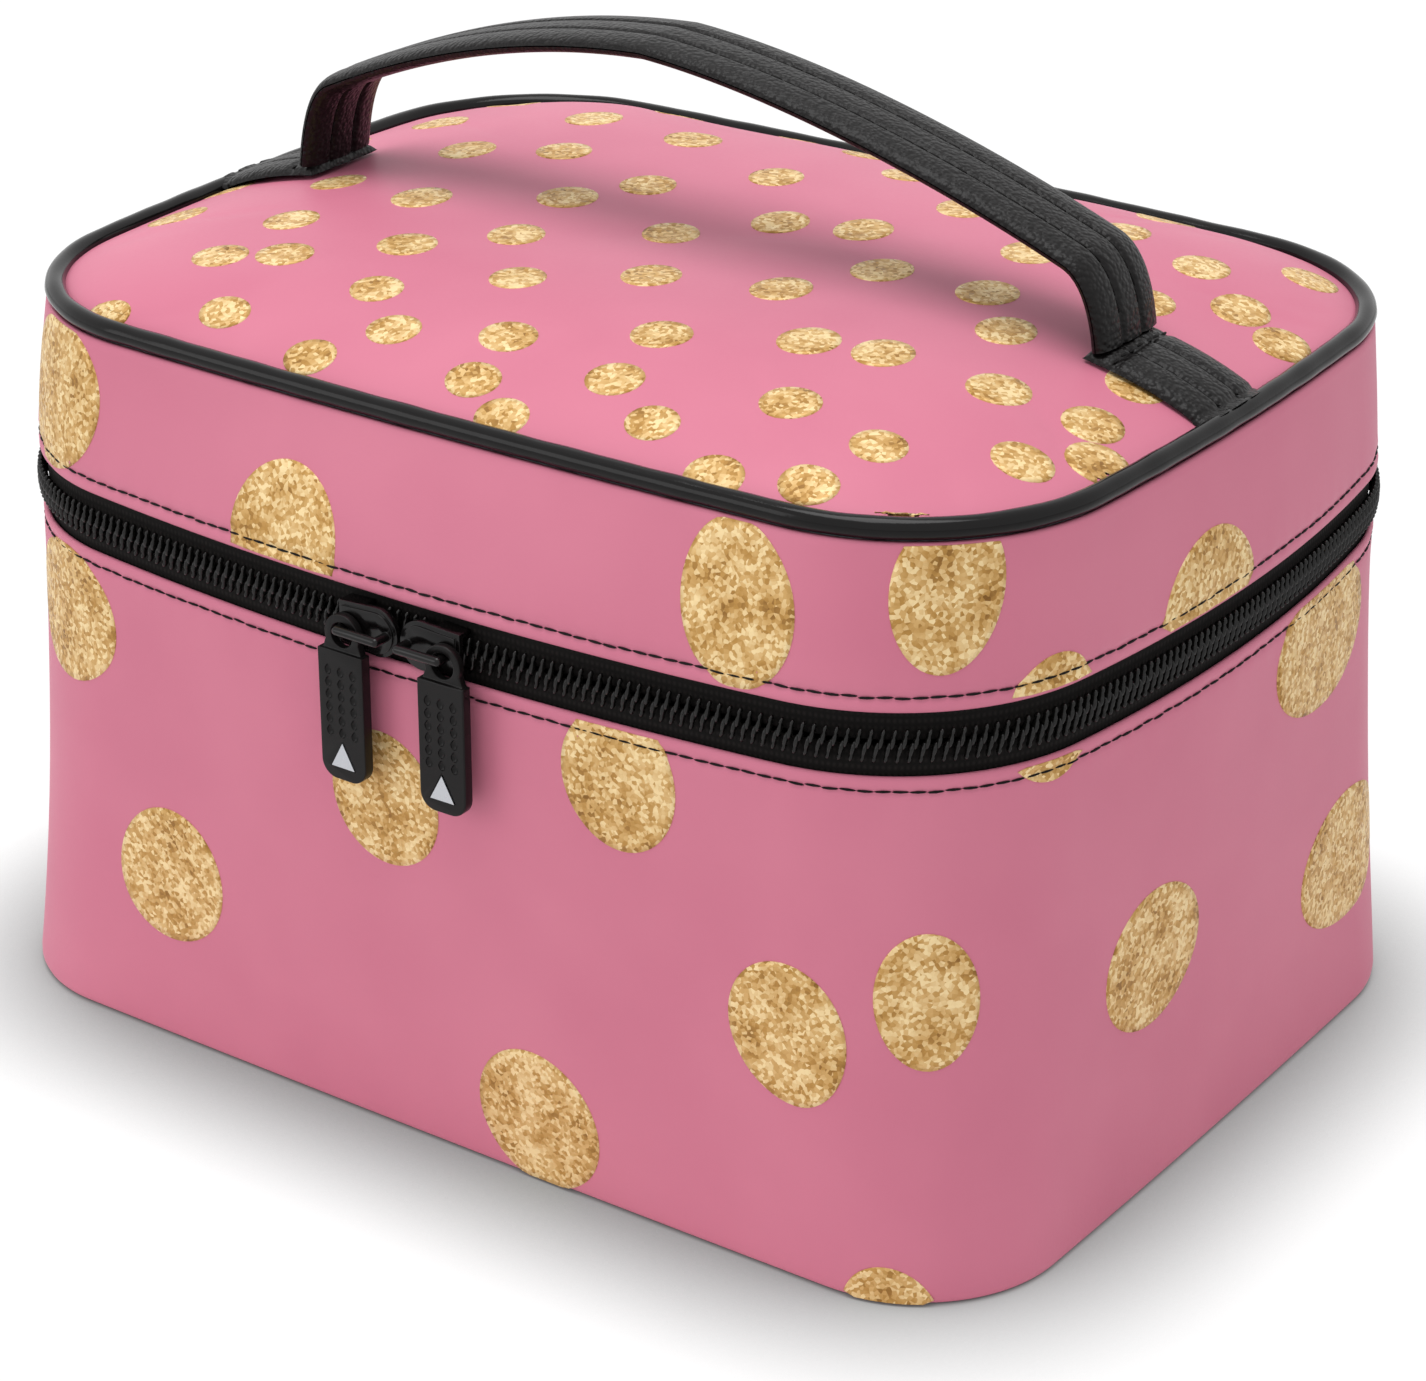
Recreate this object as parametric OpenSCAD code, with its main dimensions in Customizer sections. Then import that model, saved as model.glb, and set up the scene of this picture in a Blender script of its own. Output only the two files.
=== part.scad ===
// Makeup train case: a soft-walled zip case with a padded lid and a strap handle.
// Millimetres. The origin is the middle of the underside, the front faces -Y, up is +Z.

/* [Case] */
// Width of the case over its end walls
case_w = 244; // [210:1:300]
// Depth of the case over its front and back walls
case_d = 192; // [160:1:230]
// Radius of the upright corners
corner_r = 45; // [34:1:52]
// How far the front and back walls bow out between the corners
front_bow = 4.8; // [1.5:0.1:6]
// How far the end walls bow out between the corners
side_bow = 3.7; // [1:0.1:5]
// Height of the base wall, from the floor to its zip edge
base_h = 103; // [80:0.1:130]
// How far the foot of the base stands in from its zip edge at each end
foot_in_x = 0.5; // [0:0.5:12]
// How far the foot of the base stands in from its zip edge at the front and the back
foot_in_y = 5; // [0:0.5:12]
// Radius of the upright corners at the foot
foot_r = 31; // [24:1:44]
// Height of the lid wall, from its zip edge to its top seam
lid_h = 30.8; // [26:0.1:50]
// How far the lid wall leans in from its zip edge to its top seam at each end
lid_in_x = 3.5; // [0:0.5:6]
// How far the lid wall leans in at the front and the back
lid_in_y = 8; // [0:0.5:10]
// Radius of the upright corners at the top seam
top_r = 43; // [34:1:50]
// How far the top seam stands in from the wall's face
seam_in = 1.8; // [0.5:0.1:3]
// Rise of the padded lid top over its seam
lid_dome = 10; // [5:0.5:14]

/* [Walls] */
// Thickness of the coated fabric outside
skin_t = 1.2; // [0.8:0.1:2]
// Thickness of the foam behind the skin
foam_t = 3; // [2:0.1:5]
// Thickness of the stiffening board
board_t = 1.6; // [1:0.1:3]
// Thickness of the lining fabric
lining_t = 0.6; // [0.4:0.1:1.2]
// Thickness of the board in the floor and in the lid top
flat_board_t = 1.8; // [1.2:0.1:3]
// Air left between pieces that lie against each other
seat_gap = 0.2; // [0.1:0.05:0.3]

/* [Top piping] */
// Diameter of the piping round the lid top
piping_d = 4; // [3:0.1:6]
// Thickness of the strip that wraps the piping's cord
piping_wrap_t = 0.7; // [0.4:0.1:1]
// Length of the piping's sewn flange
flange_l = 6; // [4:0.5:9]
// Thickness of each of the flange's two layers
flange_layer_t = 0.45; // [0.3:0.05:0.6]

/* [Zip] */
// Height of zip that shows between the two walls
zip_show = 12.2; // [10.6:0.1:16]
// Thickness of the woven tape
tape_t = 0.6; // [0.4:0.1:0.9]
// Slit between the edges of the two tapes
tape_slit = 1.2; // [1.1:0.1:1.6]
// Height of tape sewn behind each wall
tape_hidden = 5; // [4:0.5:9]
// Distance from one coil tooth to the next
coil_pitch = 2; // [1.8:0.1:2.6]
// Thickness of the coil, square to the tape
coil_t = 2.2; // [1.8:0.1:2.6]
// How far each coil row reaches from the middle of the zip
coil_reach = 3.2; // [2.8:0.1:3.4]
// Width of a tooth along the zip
tooth_w = 0.85; // [0.6:0.05:0.9]
// How far a tooth reaches past the middle of the zip
tooth_past = 0.7; // [0.5:0.05:1]

/* [Fabric hinge] */
// Width of the strip that hinges the lid at the back
hinge_w = 110; // [70:1:120]
// How far the strip laps onto each wall
hinge_lap = 7; // [5:0.5:9]
// Thickness of the strip
hinge_t = 1.2; // [0.8:0.1:2]

/* [Zip sliders] */
// Where the two sliders meet, right of the middle of the front
slider_meet = 2; // [-20:0.1:20]
// Length of a slider
slider_l = 13.5; // [12.5:0.5:16]
// Width of a slider at its nose
slider_w = 9.6; // [9:0.1:10.4]
// Width of a slider at its tail
slider_tail_w = 8.6; // [8:0.1:8.8]
// Thickness of a slider's outer plate
plate_t = 1.2; // [1:0.1:1.6]
// Thickness of a slider's inner plate
back_plate_t = 1; // [0.8:0.1:1.4]
// Diameter of the bridge bar that holds the pull
bar_d = 1.8; // [1.4:0.1:2.2]
// Length of the bridge bar between the middles of its posts
bar_l = 9; // [8:0.1:10]

/* [Zip pulls] */
// Length of a pull below its bridge post
pull_l = 30.5; // [22:0.5:34]
// Width of a pull's tab
pull_w = 10.4; // [8.5:0.1:11]
// Thickness of a pull's tab
pull_t = 2.3; // [1.9:0.1:3]
// Diameter of the hole in a pull's eye
eye_d = 5; // [4.4:0.1:5.6]
// Width of the rim round a pull's eye
eye_rim = 1.5; // [1.2:0.1:1.8]
// Thickness of a pull's eye
eye_t = 1.6; // [1.2:0.1:1.8]

/* [Handle] */
// Width of the handle strap
strap_w = 21; // [18:0.5:32]
// Height of the strap's underside over the middle of the lid
handle_gap = 36; // [30:0.5:50]
// Distance from the middle of the case to each shoulder of the handle
shoulder_x = 85; // [76:0.5:88]
// How far the strap drops from its middle to its shoulders
shoulder_drop = 20; // [12:0.5:22]
// Distance from the middle of the case to the foot of each leg
foot_x = 93; // [91:0.5:98]
// Thickness of one strap layer
strap_t = 1.1; // [0.8:0.1:1.5]
// Thickness of the padding between the strap's layers
strap_pad_t = 1.4; // [0.8:0.1:2.4]

/* [Hidden] */
$fn = 180;

pink = "#d98299";
black = "#1d1d1f";
foam_grey = "#8d8f94";
board_grey = "#5d5f63";
lining_black = "#26262a";
silver = "#b9bcc2";

// --- Heights ---------------------------------------------------------------
zip_z = base_h + zip_show / 2;
lid_z = base_h + zip_show;
seam_z = lid_z + lid_h;
slit_t = 0.1;
flange_t = 2 * flange_layer_t + slit_t;
floor_z = skin_t + flat_board_t + lining_t;
lid_board_z = seam_z - flange_t - flat_board_t - seat_gap;
lid_floor_z = lid_board_z - lining_t;
band_top = seam_z - flange_t;
wall_top = base_h - 1;
wall_start = lid_z + 1;

// --- Plan outline: eight arcs that meet in common tangents -------------------
half_w = case_w / 2;
half_d = case_d / 2;
function dir(a) = [cos(a), sin(a)];
// Radius of the bowed side between two corners: span is half its chord, bow its rise
function bow_r(r, span, bow) = r + (span * span + bow * bow) / (2 * bow);

// The arcs of an outline of half width a, half depth b, corner radius r and bows bx and by.
// Each is [centre, radius, first angle, last angle]. They start and end at the middle of the
// back and run past the left end, the front and the right end.
function arcs(a, b, r, bx, by) =
    let (x = a - r - bx, y = b - r - by,
         lr = bow_r(r, x, by), sr = bow_r(r, y, bx), lc = b - lr, sc = a - sr,
         ts = atan2(y, x - sc), tl = atan2(y - lc, x))
    [[[0, lc], lr, 90, 180 - tl],
     [[-x, y], r, 180 - tl, 180 - ts],
     [[-sc, 0], sr, 180 - ts, 180 + ts],
     [[-x, -y], r, 180 + ts, 180 + tl],
     [[0, -lc], lr, 180 + tl, 360 - tl],
     [[x, -y], r, 360 - tl, 360 - ts],
     [[sc, 0], sr, 360 - ts, 360 + ts],
     [[x, y], r, 360 + ts, 360 + tl],
     [[0, lc], lr, 360 + tl, 450]];
ARCS = arcs(half_w, half_d, corner_r, side_bow, front_bow);
foot_bow = 0.5;
FOOT = arcs(half_w - foot_in_x, half_d - foot_in_y, foot_r, foot_bow, foot_bow);
top_bow = 1.5;
top_w = half_w - lid_in_x;
TOP = arcs(top_w, half_d - lid_in_y, top_r, top_bow, top_bow);
long_r = ARCS[0][1];
long_c = ARCS[0][0][1];

// A point on an arc, out from it by off, at a share t of its turn
function on_arc(g, t, off) = g[0] + (g[1] + off) * dir(g[2] + t * (g[3] - g[2]));
function arc_length(g) = g[1] * (g[3] - g[2]) * PI / 180;
function length_to(i) = i == 0 ? 0 : length_to(i - 1) + arc_length(ARCS[i - 1]);
perimeter = length_to(len(ARCS));

// The arc and the angle at a distance s along the case's outline
function along(s, i = 0) =
    s <= arc_length(ARCS[i]) || i == len(ARCS) - 1
    ? [ARCS[i], ARCS[i][2] + s / ARCS[i][1] * 180 / PI]
    : along(s - arc_length(ARCS[i]), i + 1);
// A point at distance s along the outline, out from it by off and on by du
function on_outline(s, off, du = 0) =
    let (q = along(s), g = q[0], a = q[1])
    g[0] + (g[1] + off) * dir(a) + du * [-sin(a), cos(a)];

// The places at which every outline has its points: which arc, and the share of its turn
corner_steps = 9;
wall_steps = 6;
STOPS = [for (i = [0 : len(ARCS) - 1])
            let (n = ARCS[i][1] == corner_r ? corner_steps
                    : i == 0 || i == len(ARCS) - 1 ? wall_steps / 2 : wall_steps)
            for (k = [0 : n - 1]) [i, k / n]];
function stop_s(q) = length_to(q[0]) + q[1] * arc_length(ARCS[q[0]]);
function outline(off, G) = [for (q = STOPS) on_arc(G[q[0]], q[1], off)];

// The foam is cut back over the hidden part of the tape
foam_step = tape_hidden + seat_gap;
// How far the base's outline has drawn in towards its foot at a height, from 0 to 1. It
// stands upright over the tape.
draw_power = 1.6;
rim_z = base_h - foam_step;
bend_z = rim_z / 3;
function drawn(z) = lookup(z, [[0, 1], [bend_z, pow(2 / 3, draw_power)], [rim_z, 0]]);
// A point of the wall that stands a share k of the way from the zip's outline to another
function between(q, off, G, k) =
    (1 - k) * on_arc(ARCS[q[0]], q[1], off) + k * on_arc(G[q[0]], q[1], off);
function base_point(q, off, z) = between(q, off, FOOT, drawn(z));
// The lid wall stands upright over the tape, and leans in from there to the top seam
lean_z = lid_z + foam_step;
function lid_point(q, off, z) =
    between(q, off, TOP, max(0, (z - lean_z) / (band_top - lean_z)));

// An upright layer between offsets o0 and o1, and between two distances along the outline
module open_layer(o0, o1, s0, s1, z0, z1) {
    stops = concat(s0, [for (q = STOPS) let (s = stop_s(q)) if (s > s0 + 0.5 && s < s1 - 0.5) s],
                   s1);
    n = len(stops);
    translate([0, 0, z0])
        linear_extrude(z1 - z0)
            polygon(concat([for (s = stops) on_outline(s, o1)],
                           [for (i = [n - 1 : -1 : 0]) on_outline(stops[i], o0)]));
}

// Joins one ring of m points per stop into a closed sweep round the case. Each of its
// faces is halved from its lower edge's first end to its upper edge's last, so layers that
// lie on each other share their surface.
module ring_sweep(points, m) {
    n = len(STOPS);
    faces = [for (i = [0 : n - 1]) for (k = [0 : m - 1])
                let (a = i * m + k, b = ((i + 1) % n) * m + k,
                     c = ((i + 1) % n) * m + (k + 1) % m, d = i * m + (k + 1) % m,
                     rising = points[d][2] >= points[a][2])
                for (f = rising ? [[a, b, c], [a, c, d]] : [[a, b, d], [b, c, d]]) f];
    polyhedron(points, faces);
}
// Sweeps a section round the case; each of its points is [offset, height]. One module
// follows the base as it draws in, one the lid wall as it leans in, and one the top seam.
module base_sweep(section)
    ring_sweep([for (q = STOPS) for (p = section) concat(base_point(q, p[0], p[1]), p[1])],
               len(section));
module lid_sweep(section)
    ring_sweep([for (q = STOPS) for (p = section) concat(lid_point(q, p[0], p[1]), p[1])],
               len(section));
module top_sweep(section)
    ring_sweep([for (q = STOPS) for (p = section) concat(on_arc(TOP[q[0]], q[1], p[0]), p[1])],
               len(section));

// Offsets of the wall's layers, from the outline inwards
tape_front = -skin_t - seat_gap;
tape_back = tape_front - tape_t;
rim_foam = tape_back - seat_gap;
foam_back = -skin_t - foam_t;
board_back = foam_back - board_t;
lining_back = board_back - lining_t;

// --- Base --------------------------------------------------------------------
module base_side_band()
    color(pink)
        base_sweep([[-skin_t, 0], [0, 0], [0, bend_z], [0, rim_z], [0, base_h],
                    [-skin_t, base_h], [-skin_t, rim_z], [-skin_t, bend_z], [-skin_t, skin_t]]);

// The foam is stepped back at the rim, where the zip tape is sewn in behind the skin
module base_wall_foam()
    color(foam_grey)
        base_sweep([[foam_back, skin_t], [-skin_t, skin_t], [-skin_t, bend_z],
                    [-skin_t, rim_z], [rim_foam, rim_z], [rim_foam, wall_top],
                    [foam_back, wall_top], [foam_back, rim_z], [foam_back, bend_z]]);

module base_wall_board()
    color(board_grey)
        base_sweep([[board_back, skin_t], [foam_back, skin_t], [foam_back, bend_z],
                    [foam_back, rim_z], [foam_back, wall_top], [board_back, wall_top],
                    [board_back, rim_z], [board_back, bend_z], [board_back, floor_z]]);

module base_wall_lining()
    color(lining_black)
        base_sweep([[lining_back, floor_z], [board_back, floor_z], [board_back, bend_z],
                    [board_back, rim_z], [board_back, base_h], [lining_back, base_h],
                    [lining_back, rim_z], [lining_back, bend_z]]);

// A plate that fits inside the wall at every height between z and z + t
function base_outline(off, z) = [for (q = STOPS) base_point(q, off, z)];
module base_plate(off, z, t)
    translate([0, 0, z])
        linear_extrude(t)
            intersection() {
                polygon(base_outline(off, z));
                polygon(base_outline(off, z + t));
            }

module base_bottom_panel()
    color(pink)
        base_plate(-skin_t, 0, skin_t);

module base_bottom_board()
    color(board_grey)
        base_plate(board_back, skin_t, flat_board_t);

module base_floor_lining()
    color(lining_black)
        base_plate(board_back, skin_t + flat_board_t, lining_t);

// --- Zip tapes ---------------------------------------------------------------
// The tapes run all round but for the hinge, and end a little way under its strip
tape_lap = 8;
tape_s = hinge_w / 2 - tape_lap;
module tape(z0, z1)
    color(black)
        open_layer(tape_back, tape_front, tape_s, perimeter - tape_s, z0, z1);

module zip_tape_lower() tape(base_h - tape_hidden, zip_z - tape_slit / 2);
module zip_tape_upper() tape(zip_z + tape_slit / 2, lid_z + tape_hidden);

// --- Zip coil ----------------------------------------------------------------
// Each tooth springs from its own tape and reaches past the middle of the zip between two
// teeth of the other row. The rows stand half a pitch apart. Between the two sliders the
// rows are held apart by the sliders' posts.
coil_in = tape_front + seat_gap / 2;
coil_out = coil_in + coil_t;
coil_end = 3;
teeth_n = floor((perimeter / 2 - hinge_w / 2 - coil_end) / coil_pitch);
parted_l = slider_l * 0.4;
parted_by = 1.5;

function is_parted(s) = abs(s - perimeter / 2 - slider_meet) < parted_l;
function tooth_corners(s) =
    [on_outline(s, coil_in, -tooth_w / 2), on_outline(s, coil_out, -tooth_w / 2),
     on_outline(s, coil_out, tooth_w / 2), on_outline(s, coil_in, tooth_w / 2)];

// Upright teeth at all the places s, between two heights over the middle of the zip
module teeth(places, z0, z1)
    translate([0, 0, zip_z + min(z0, z1)])
        linear_extrude(abs(z1 - z0))
            for (s = places)
                polygon(tooth_corners(s));

// A row of teeth; side is +1 for the row on the lid and -1 for the row on the base
module coil_row(side) {
    shift = side > 0 ? 0 : coil_pitch / 2;
    places = [for (i = [-teeth_n : teeth_n]) perimeter / 2 + i * coil_pitch + shift];
    color(black) {
        teeth([for (s = places) if (!is_parted(s)) s], -side * tooth_past, side * coil_reach);
        teeth([for (s = places) if (is_parted(s)) s],
              side * (parted_by - tooth_past), side * (parted_by + coil_reach));
    }
}

module zip_coil_lower() coil_row(-1);
module zip_coil_upper() coil_row(1);

// --- Fabric hinge --------------------------------------------------------------
// A strip between offsets o0 and o1 that spans the zip's gap at the back
hinge_turn = 2 * asin(hinge_w / 2 / long_r);
module hinge_strip(o0, o1, lap)
    translate([0, long_c, 0])
        rotate([0, 0, 90 - hinge_turn / 2])
            rotate_extrude(angle = hinge_turn)
                translate([long_r + o0, base_h - lap])
                    square([o1 - o0, zip_show + 2 * lap]);

module hinge_panel()
    color(black)
        hinge_strip(seat_gap, seat_gap + hinge_t, hinge_lap);

module hinge_lining()
    color(lining_black)
        hinge_strip(lining_back - seat_gap - lining_t, lining_back - seat_gap,
                    min(hinge_lap, tape_hidden));

// --- Lid walls -----------------------------------------------------------------
module lid_side_band()
    color(pink)
        lid_sweep([[-skin_t, lid_z], [0, lid_z], [0, lean_z], [0, band_top],
                   [-skin_t, band_top], [-skin_t, lean_z]]);

module lid_wall_foam()
    color(foam_grey)
        lid_sweep([[foam_back, wall_start], [rim_foam, wall_start], [rim_foam, lean_z],
                   [-skin_t, lean_z], [-skin_t, band_top], [foam_back, band_top],
                   [foam_back, lean_z]]);

module lid_wall_board()
    color(board_grey)
        lid_sweep([[board_back, wall_start], [foam_back, wall_start], [foam_back, lean_z],
                   [foam_back, band_top], [board_back, band_top], [board_back, lid_floor_z],
                   [board_back, lean_z]]);

module lid_wall_lining()
    color(lining_black)
        lid_sweep([[lining_back, lid_z], [board_back, lid_z], [board_back, lean_z],
                   [board_back, lid_floor_z], [lining_back, lid_floor_z],
                   [lining_back, lean_z]]);

// --- Padded lid top --------------------------------------------------------------
panel_off = -seam_in - piping_d / 2 - seat_gap;
panel_w = top_w + panel_off;
// Rise of the lid top at each share of the way from its middle to its edge
dome_power = 6;
dome_shares = [0.3, 0.6, 0.76, 0.86, 0.93, 0.97, 1];
DOME = [for (t = dome_shares) [t, lid_dome * (1 - pow(t, dome_power))]];
function lid_top_at(x) = seam_z + lookup(x / panel_w, DOME) + skin_t;

// A closed pillow from stacked rings. Each ring is [share of the edge, height]; the first
// and the last are closed to a point at their own height.
module pillow(edge, rings) {
    n = len(edge);
    m = len(rings);
    points = [for (r = rings) for (p = edge) [r[0] * p[0], r[0] * p[1], r[1]]];
    low = len(points);
    polyhedron(concat(points, [[0, 0, rings[0][1]], [0, 0, rings[m - 1][1]]]),
               concat([for (k = [0 : m - 2]) for (i = [0 : n - 1])
                          [k * n + i, (k + 1) * n + i, (k + 1) * n + (i + 1) % n]],
                      [for (k = [0 : m - 2]) for (i = [0 : n - 1])
                          [k * n + i, (k + 1) * n + (i + 1) % n, k * n + (i + 1) % n]],
                      [for (i = [0 : n - 1]) [low, i, (i + 1) % n]],
                      [for (i = [0 : n - 1])
                          [low + 1, (m - 1) * n + (i + 1) % n, (m - 1) * n + i]]));
}

function last_first(v) = [for (i = [len(v) - 1 : -1 : 0]) v[i]];
module lid_top_panel()
    color(pink)
        pillow(outline(panel_off, TOP),
               concat([for (d = DOME) [d[0], seam_z + d[1]]],
                      [for (d = last_first(DOME)) [d[0], seam_z + d[1] + skin_t]]));

// The foam fills the lid top inside the piping's flange
foam_off = -seam_in - piping_d / 2 - flange_l - seat_gap;
foam_share = (top_w + foam_off) / panel_w;
module lid_top_foam()
    color(foam_grey)
        pillow(outline(foam_off, TOP),
               concat([[dome_shares[0], lid_board_z + flat_board_t],
                       [1, lid_board_z + flat_board_t]],
                      [for (d = last_first(DOME))
                          if (d[0] <= 0.93)
                              [d[0] / max(0.93, foam_share), seam_z + d[1] - seat_gap]]));

// The board and its lining fit inside the wall board at the height of their upper face
function lid_outline(off, z) = [for (q = STOPS) lid_point(q, off, z)];
module lid_top_board()
    color(board_grey)
        translate([0, 0, lid_board_z])
            linear_extrude(flat_board_t)
                polygon(lid_outline(board_back, lid_board_z + flat_board_t));

module lid_top_lining()
    color(lining_black)
        translate([0, 0, lid_floor_z])
            linear_extrude(lining_t)
                polygon(lid_outline(board_back, lid_board_z));

// --- Piping round the lid top ------------------------------------------------------
// A strip folded round a cord; its two edges lie together as the flange that is sewn
// between the lid wall and the lid top.
piping_steps = 7;
piping_r = piping_d / 2;
cord_hole_r = piping_r - piping_wrap_t;
piping_z = band_top + piping_r;
flange_end = -piping_r - flange_l;
// Where the flange's upper face meets the outside of the fold, and where the slit opens
// into the cord's hole
fold_turn = 180 + asin((piping_r - flange_t) / piping_r);
hole_low = 232;
hole_high = 222;
slit_mid = flange_t / 2 - piping_r;
slit_turn = -1.35;

module top_piping() {
    section = concat(
        [[flange_end, -piping_r]],
        [for (i = [0 : piping_steps]) piping_r * dir(-90 + (fold_turn + 90) * i / piping_steps)],
        [[flange_end, flange_t - piping_r],
         [flange_end, slit_mid + slit_t / 2],
         [slit_turn, slit_mid + slit_t / 2]],
        [for (i = [0 : piping_steps])
            cord_hole_r * dir(hole_high - (hole_high - hole_low + 360) * i / piping_steps)],
        [[slit_turn + slit_t, slit_mid - slit_t / 2],
         [flange_end, slit_mid - slit_t / 2]]);
    color(black)
        top_sweep([for (p = section) [p[0] - seam_in, p[1] + piping_z]]);
}

module top_piping_core() {
    cord_r = cord_hole_r - seat_gap;
    cord_steps = 10;
    color(foam_grey)
        top_sweep([for (i = [0 : cord_steps - 1])
                  cord_r * dir(360 * i / cord_steps) + [-seam_in, piping_z]]);
}

// --- Handle --------------------------------------------------------------------------
strap_total = 2 * strap_t + strap_pad_t + 2 * seat_gap;
arch_z = seam_z + lid_dome + skin_t + handle_gap + strap_total / 2;
anchor_end = panel_w - seat_gap;
anchor_in = foot_x - strap_total / 2;

function arch_at(x) = [x, arch_z - shoulder_drop * x * x / (shoulder_x * shoulder_x)];
function arch_slope(x) = -2 * shoulder_drop * x / (shoulder_x * shoulder_x);
function unit(v) = v / norm(v);
function left_of(v) = [-v[1], v[0]];

// A band of a given thickness range on either side of a line of points
function thicken(line, a, b) =
    let (n = len(line) - 1,
         side = [for (i = [0 : n])
                     left_of(unit(line[min(n, i + 1)] - line[max(0, i - 1)]))])
    concat([for (i = [0 : n]) line[i] + a * side[i]],
           [for (i = [n : -1 : 0]) line[i] + b * side[i]]);

// Draws an outline given in x and z, and makes it as wide as the strap, about the middle
module strap_wide(w)
    rotate([90, 0, 0])
        translate([0, 0, -w / 2])
            linear_extrude(w)
                children();

arch_steps = 16;
arch_line = [for (i = [-arch_steps : arch_steps]) arch_at(shoulder_x * i / arch_steps)];
pad_half = strap_pad_t / 2;
layer_in = pad_half + seat_gap;

module handle_strap()
    color(black)
        strap_wide(strap_w)
            polygon(thicken(arch_line, layer_in, layer_in + strap_t));

pad_inset = 2.5;
module handle_padding()
    color(foam_grey)
        strap_wide(strap_w - 2 * pad_inset)
            polygon(thicken(arch_line, -pad_half, pad_half));

module handle_underlay()
    color(black)
        strap_wide(strap_w)
            polygon(thicken(arch_line, -layer_in - strap_t, -layer_in));

// Each leg turns from the shoulder down to its foot on the anchor
leg_steps = 8;
leg_bulge = 0.75;
anchor_t = 2 * strap_t;
function anchor_top(x) = lid_top_at(x) + seat_gap + anchor_t;
leg_top = arch_at(shoulder_x) + [seat_gap, arch_slope(shoulder_x) * seat_gap];
leg_foot = [foot_x, anchor_top(foot_x - strap_total / 2) + seat_gap + strap_total / 4];
leg_corner = [leg_top[0] + leg_bulge * (foot_x - leg_top[0]),
              leg_top[1] + arch_slope(shoulder_x) * leg_bulge * (foot_x - leg_top[0])];
leg_line = [for (i = [0 : leg_steps])
               let (t = i / leg_steps)
               (1 - t) * (1 - t) * leg_top + 2 * t * (1 - t) * leg_corner + t * t * leg_foot];

module leg()
    color(black)
        strap_wide(strap_w)
            polygon(thicken(leg_line, -strap_total / 2, strap_total / 2));
module handle_leg_right() leg();
module handle_leg_left() mirror([1, 0, 0]) leg();

// Each anchor lies on the padded lid from under the leg to the piping, and follows its dome
anchor_line = [for (x = concat(anchor_in,
                               [for (t = dome_shares)
                                   if (t * panel_w > anchor_in + 1 && t < 1) t * panel_w],
                               anchor_end))
                  [x, lid_top_at(x) + seat_gap]];
anchor_steps = len(anchor_line) - 1;
module anchor()
    color(black)
        strap_wide(strap_w)
            polygon(concat(anchor_line,
                           [for (i = [anchor_steps : -1 : 0]) anchor_line[i] + [0, anchor_t]]));
module handle_anchor_right() anchor();
module handle_anchor_left() mirror([1, 0, 0]) anchor();

// --- Zip sliders ------------------------------------------------------------------------
// A slider is drawn with its nose towards +X and the case behind it. Its offsets are
// distances out of the wall.
plate_in = coil_out + seat_gap;
plate_out = plate_in + plate_t;
crown_t = 0.5;
crown_out = plate_out + crown_t;
back_out = tape_back - seat_gap;
back_in = back_out - back_plate_t;
eye_in = crown_out + 1.5 * seat_gap;
eye_out = eye_in + eye_t;
bar_off = eye_out + 1.5 * seat_gap + bar_d / 2;
bar_tail = -slider_l / 2 + 2.3;
post_x = slider_l / 2 - 3;
post_l = 3;
post_w = 1.4;
neck_w = 0.8;
slider_gap = 0.6;

// An outline in x and z made solid between two distances out of the wall
module slab(from, to)
    rotate([90, 0, 0])
        translate([0, 0, from])
            linear_extrude(to - from)
                children();

module slider_plate(inset) {
    nose_r = slider_w / 2 - inset;
    nose_x = slider_l / 2 - slider_w / 2;
    tail = -slider_l / 2 + inset;
    translate([nose_x, 0])
        circle(nose_r);
    polygon([[tail, -slider_tail_w / 2 + inset], [nose_x, -nose_r],
             [nose_x, nose_r], [tail, slider_tail_w / 2 - inset]]);
}

// The lips turn in beside the closed coil, from the tail to the middle of the slider
lip_l = slider_l / 2 - 1;
lip_in = tape_front + seat_gap;
lip_z = coil_reach + seat_gap;

module slider() {
    slab(plate_in, plate_out)
        slider_plate(0);
    slab(plate_out, crown_out)
        slider_plate(0.8);
    slab(back_in, back_out)
        slider_plate(0.4);
    for (side = [-1, 1])
        slab(lip_in, plate_in)
            intersection() {
                slider_plate(0);
                translate([-slider_l / 2, side > 0 ? lip_z : -slider_w])
                    square([lip_l, slider_w - lip_z]);
            }
    slab(coil_in, plate_in)
        translate([post_x - post_l / 2, -post_w / 2])
            square([post_l, post_w]);
    slab(back_out, coil_in)
        translate([post_x - post_l / 2, -neck_w / 2])
            square([post_l, neck_w]);
    for (x = [bar_tail, bar_tail + bar_l]) {
        slab(plate_out, bar_off)
            translate([x, 0])
                circle(d = bar_d);
        translate([x, -bar_off, 0])
            sphere(d = bar_d);
    }
    translate([bar_tail, -bar_off, 0])
        rotate([0, 90, 0])
            cylinder(d = bar_d, h = bar_l);
}

// Sets a piece on the front wall at the height of the zip, right of its middle by dist
module on_front(dist)
    translate([0, -long_c, zip_z])
        rotate([0, 0, dist / long_r * 180 / PI])
            translate([0, -long_r, 0])
                children();

slider_at = (slider_l + slider_gap) / 2;
module slider_left()
    color(black)
        on_front(slider_meet - slider_at)
            slider();
module slider_right()
    color(black)
        on_front(slider_meet + slider_at)
            mirror([1, 0, 0])
                slider();

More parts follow.
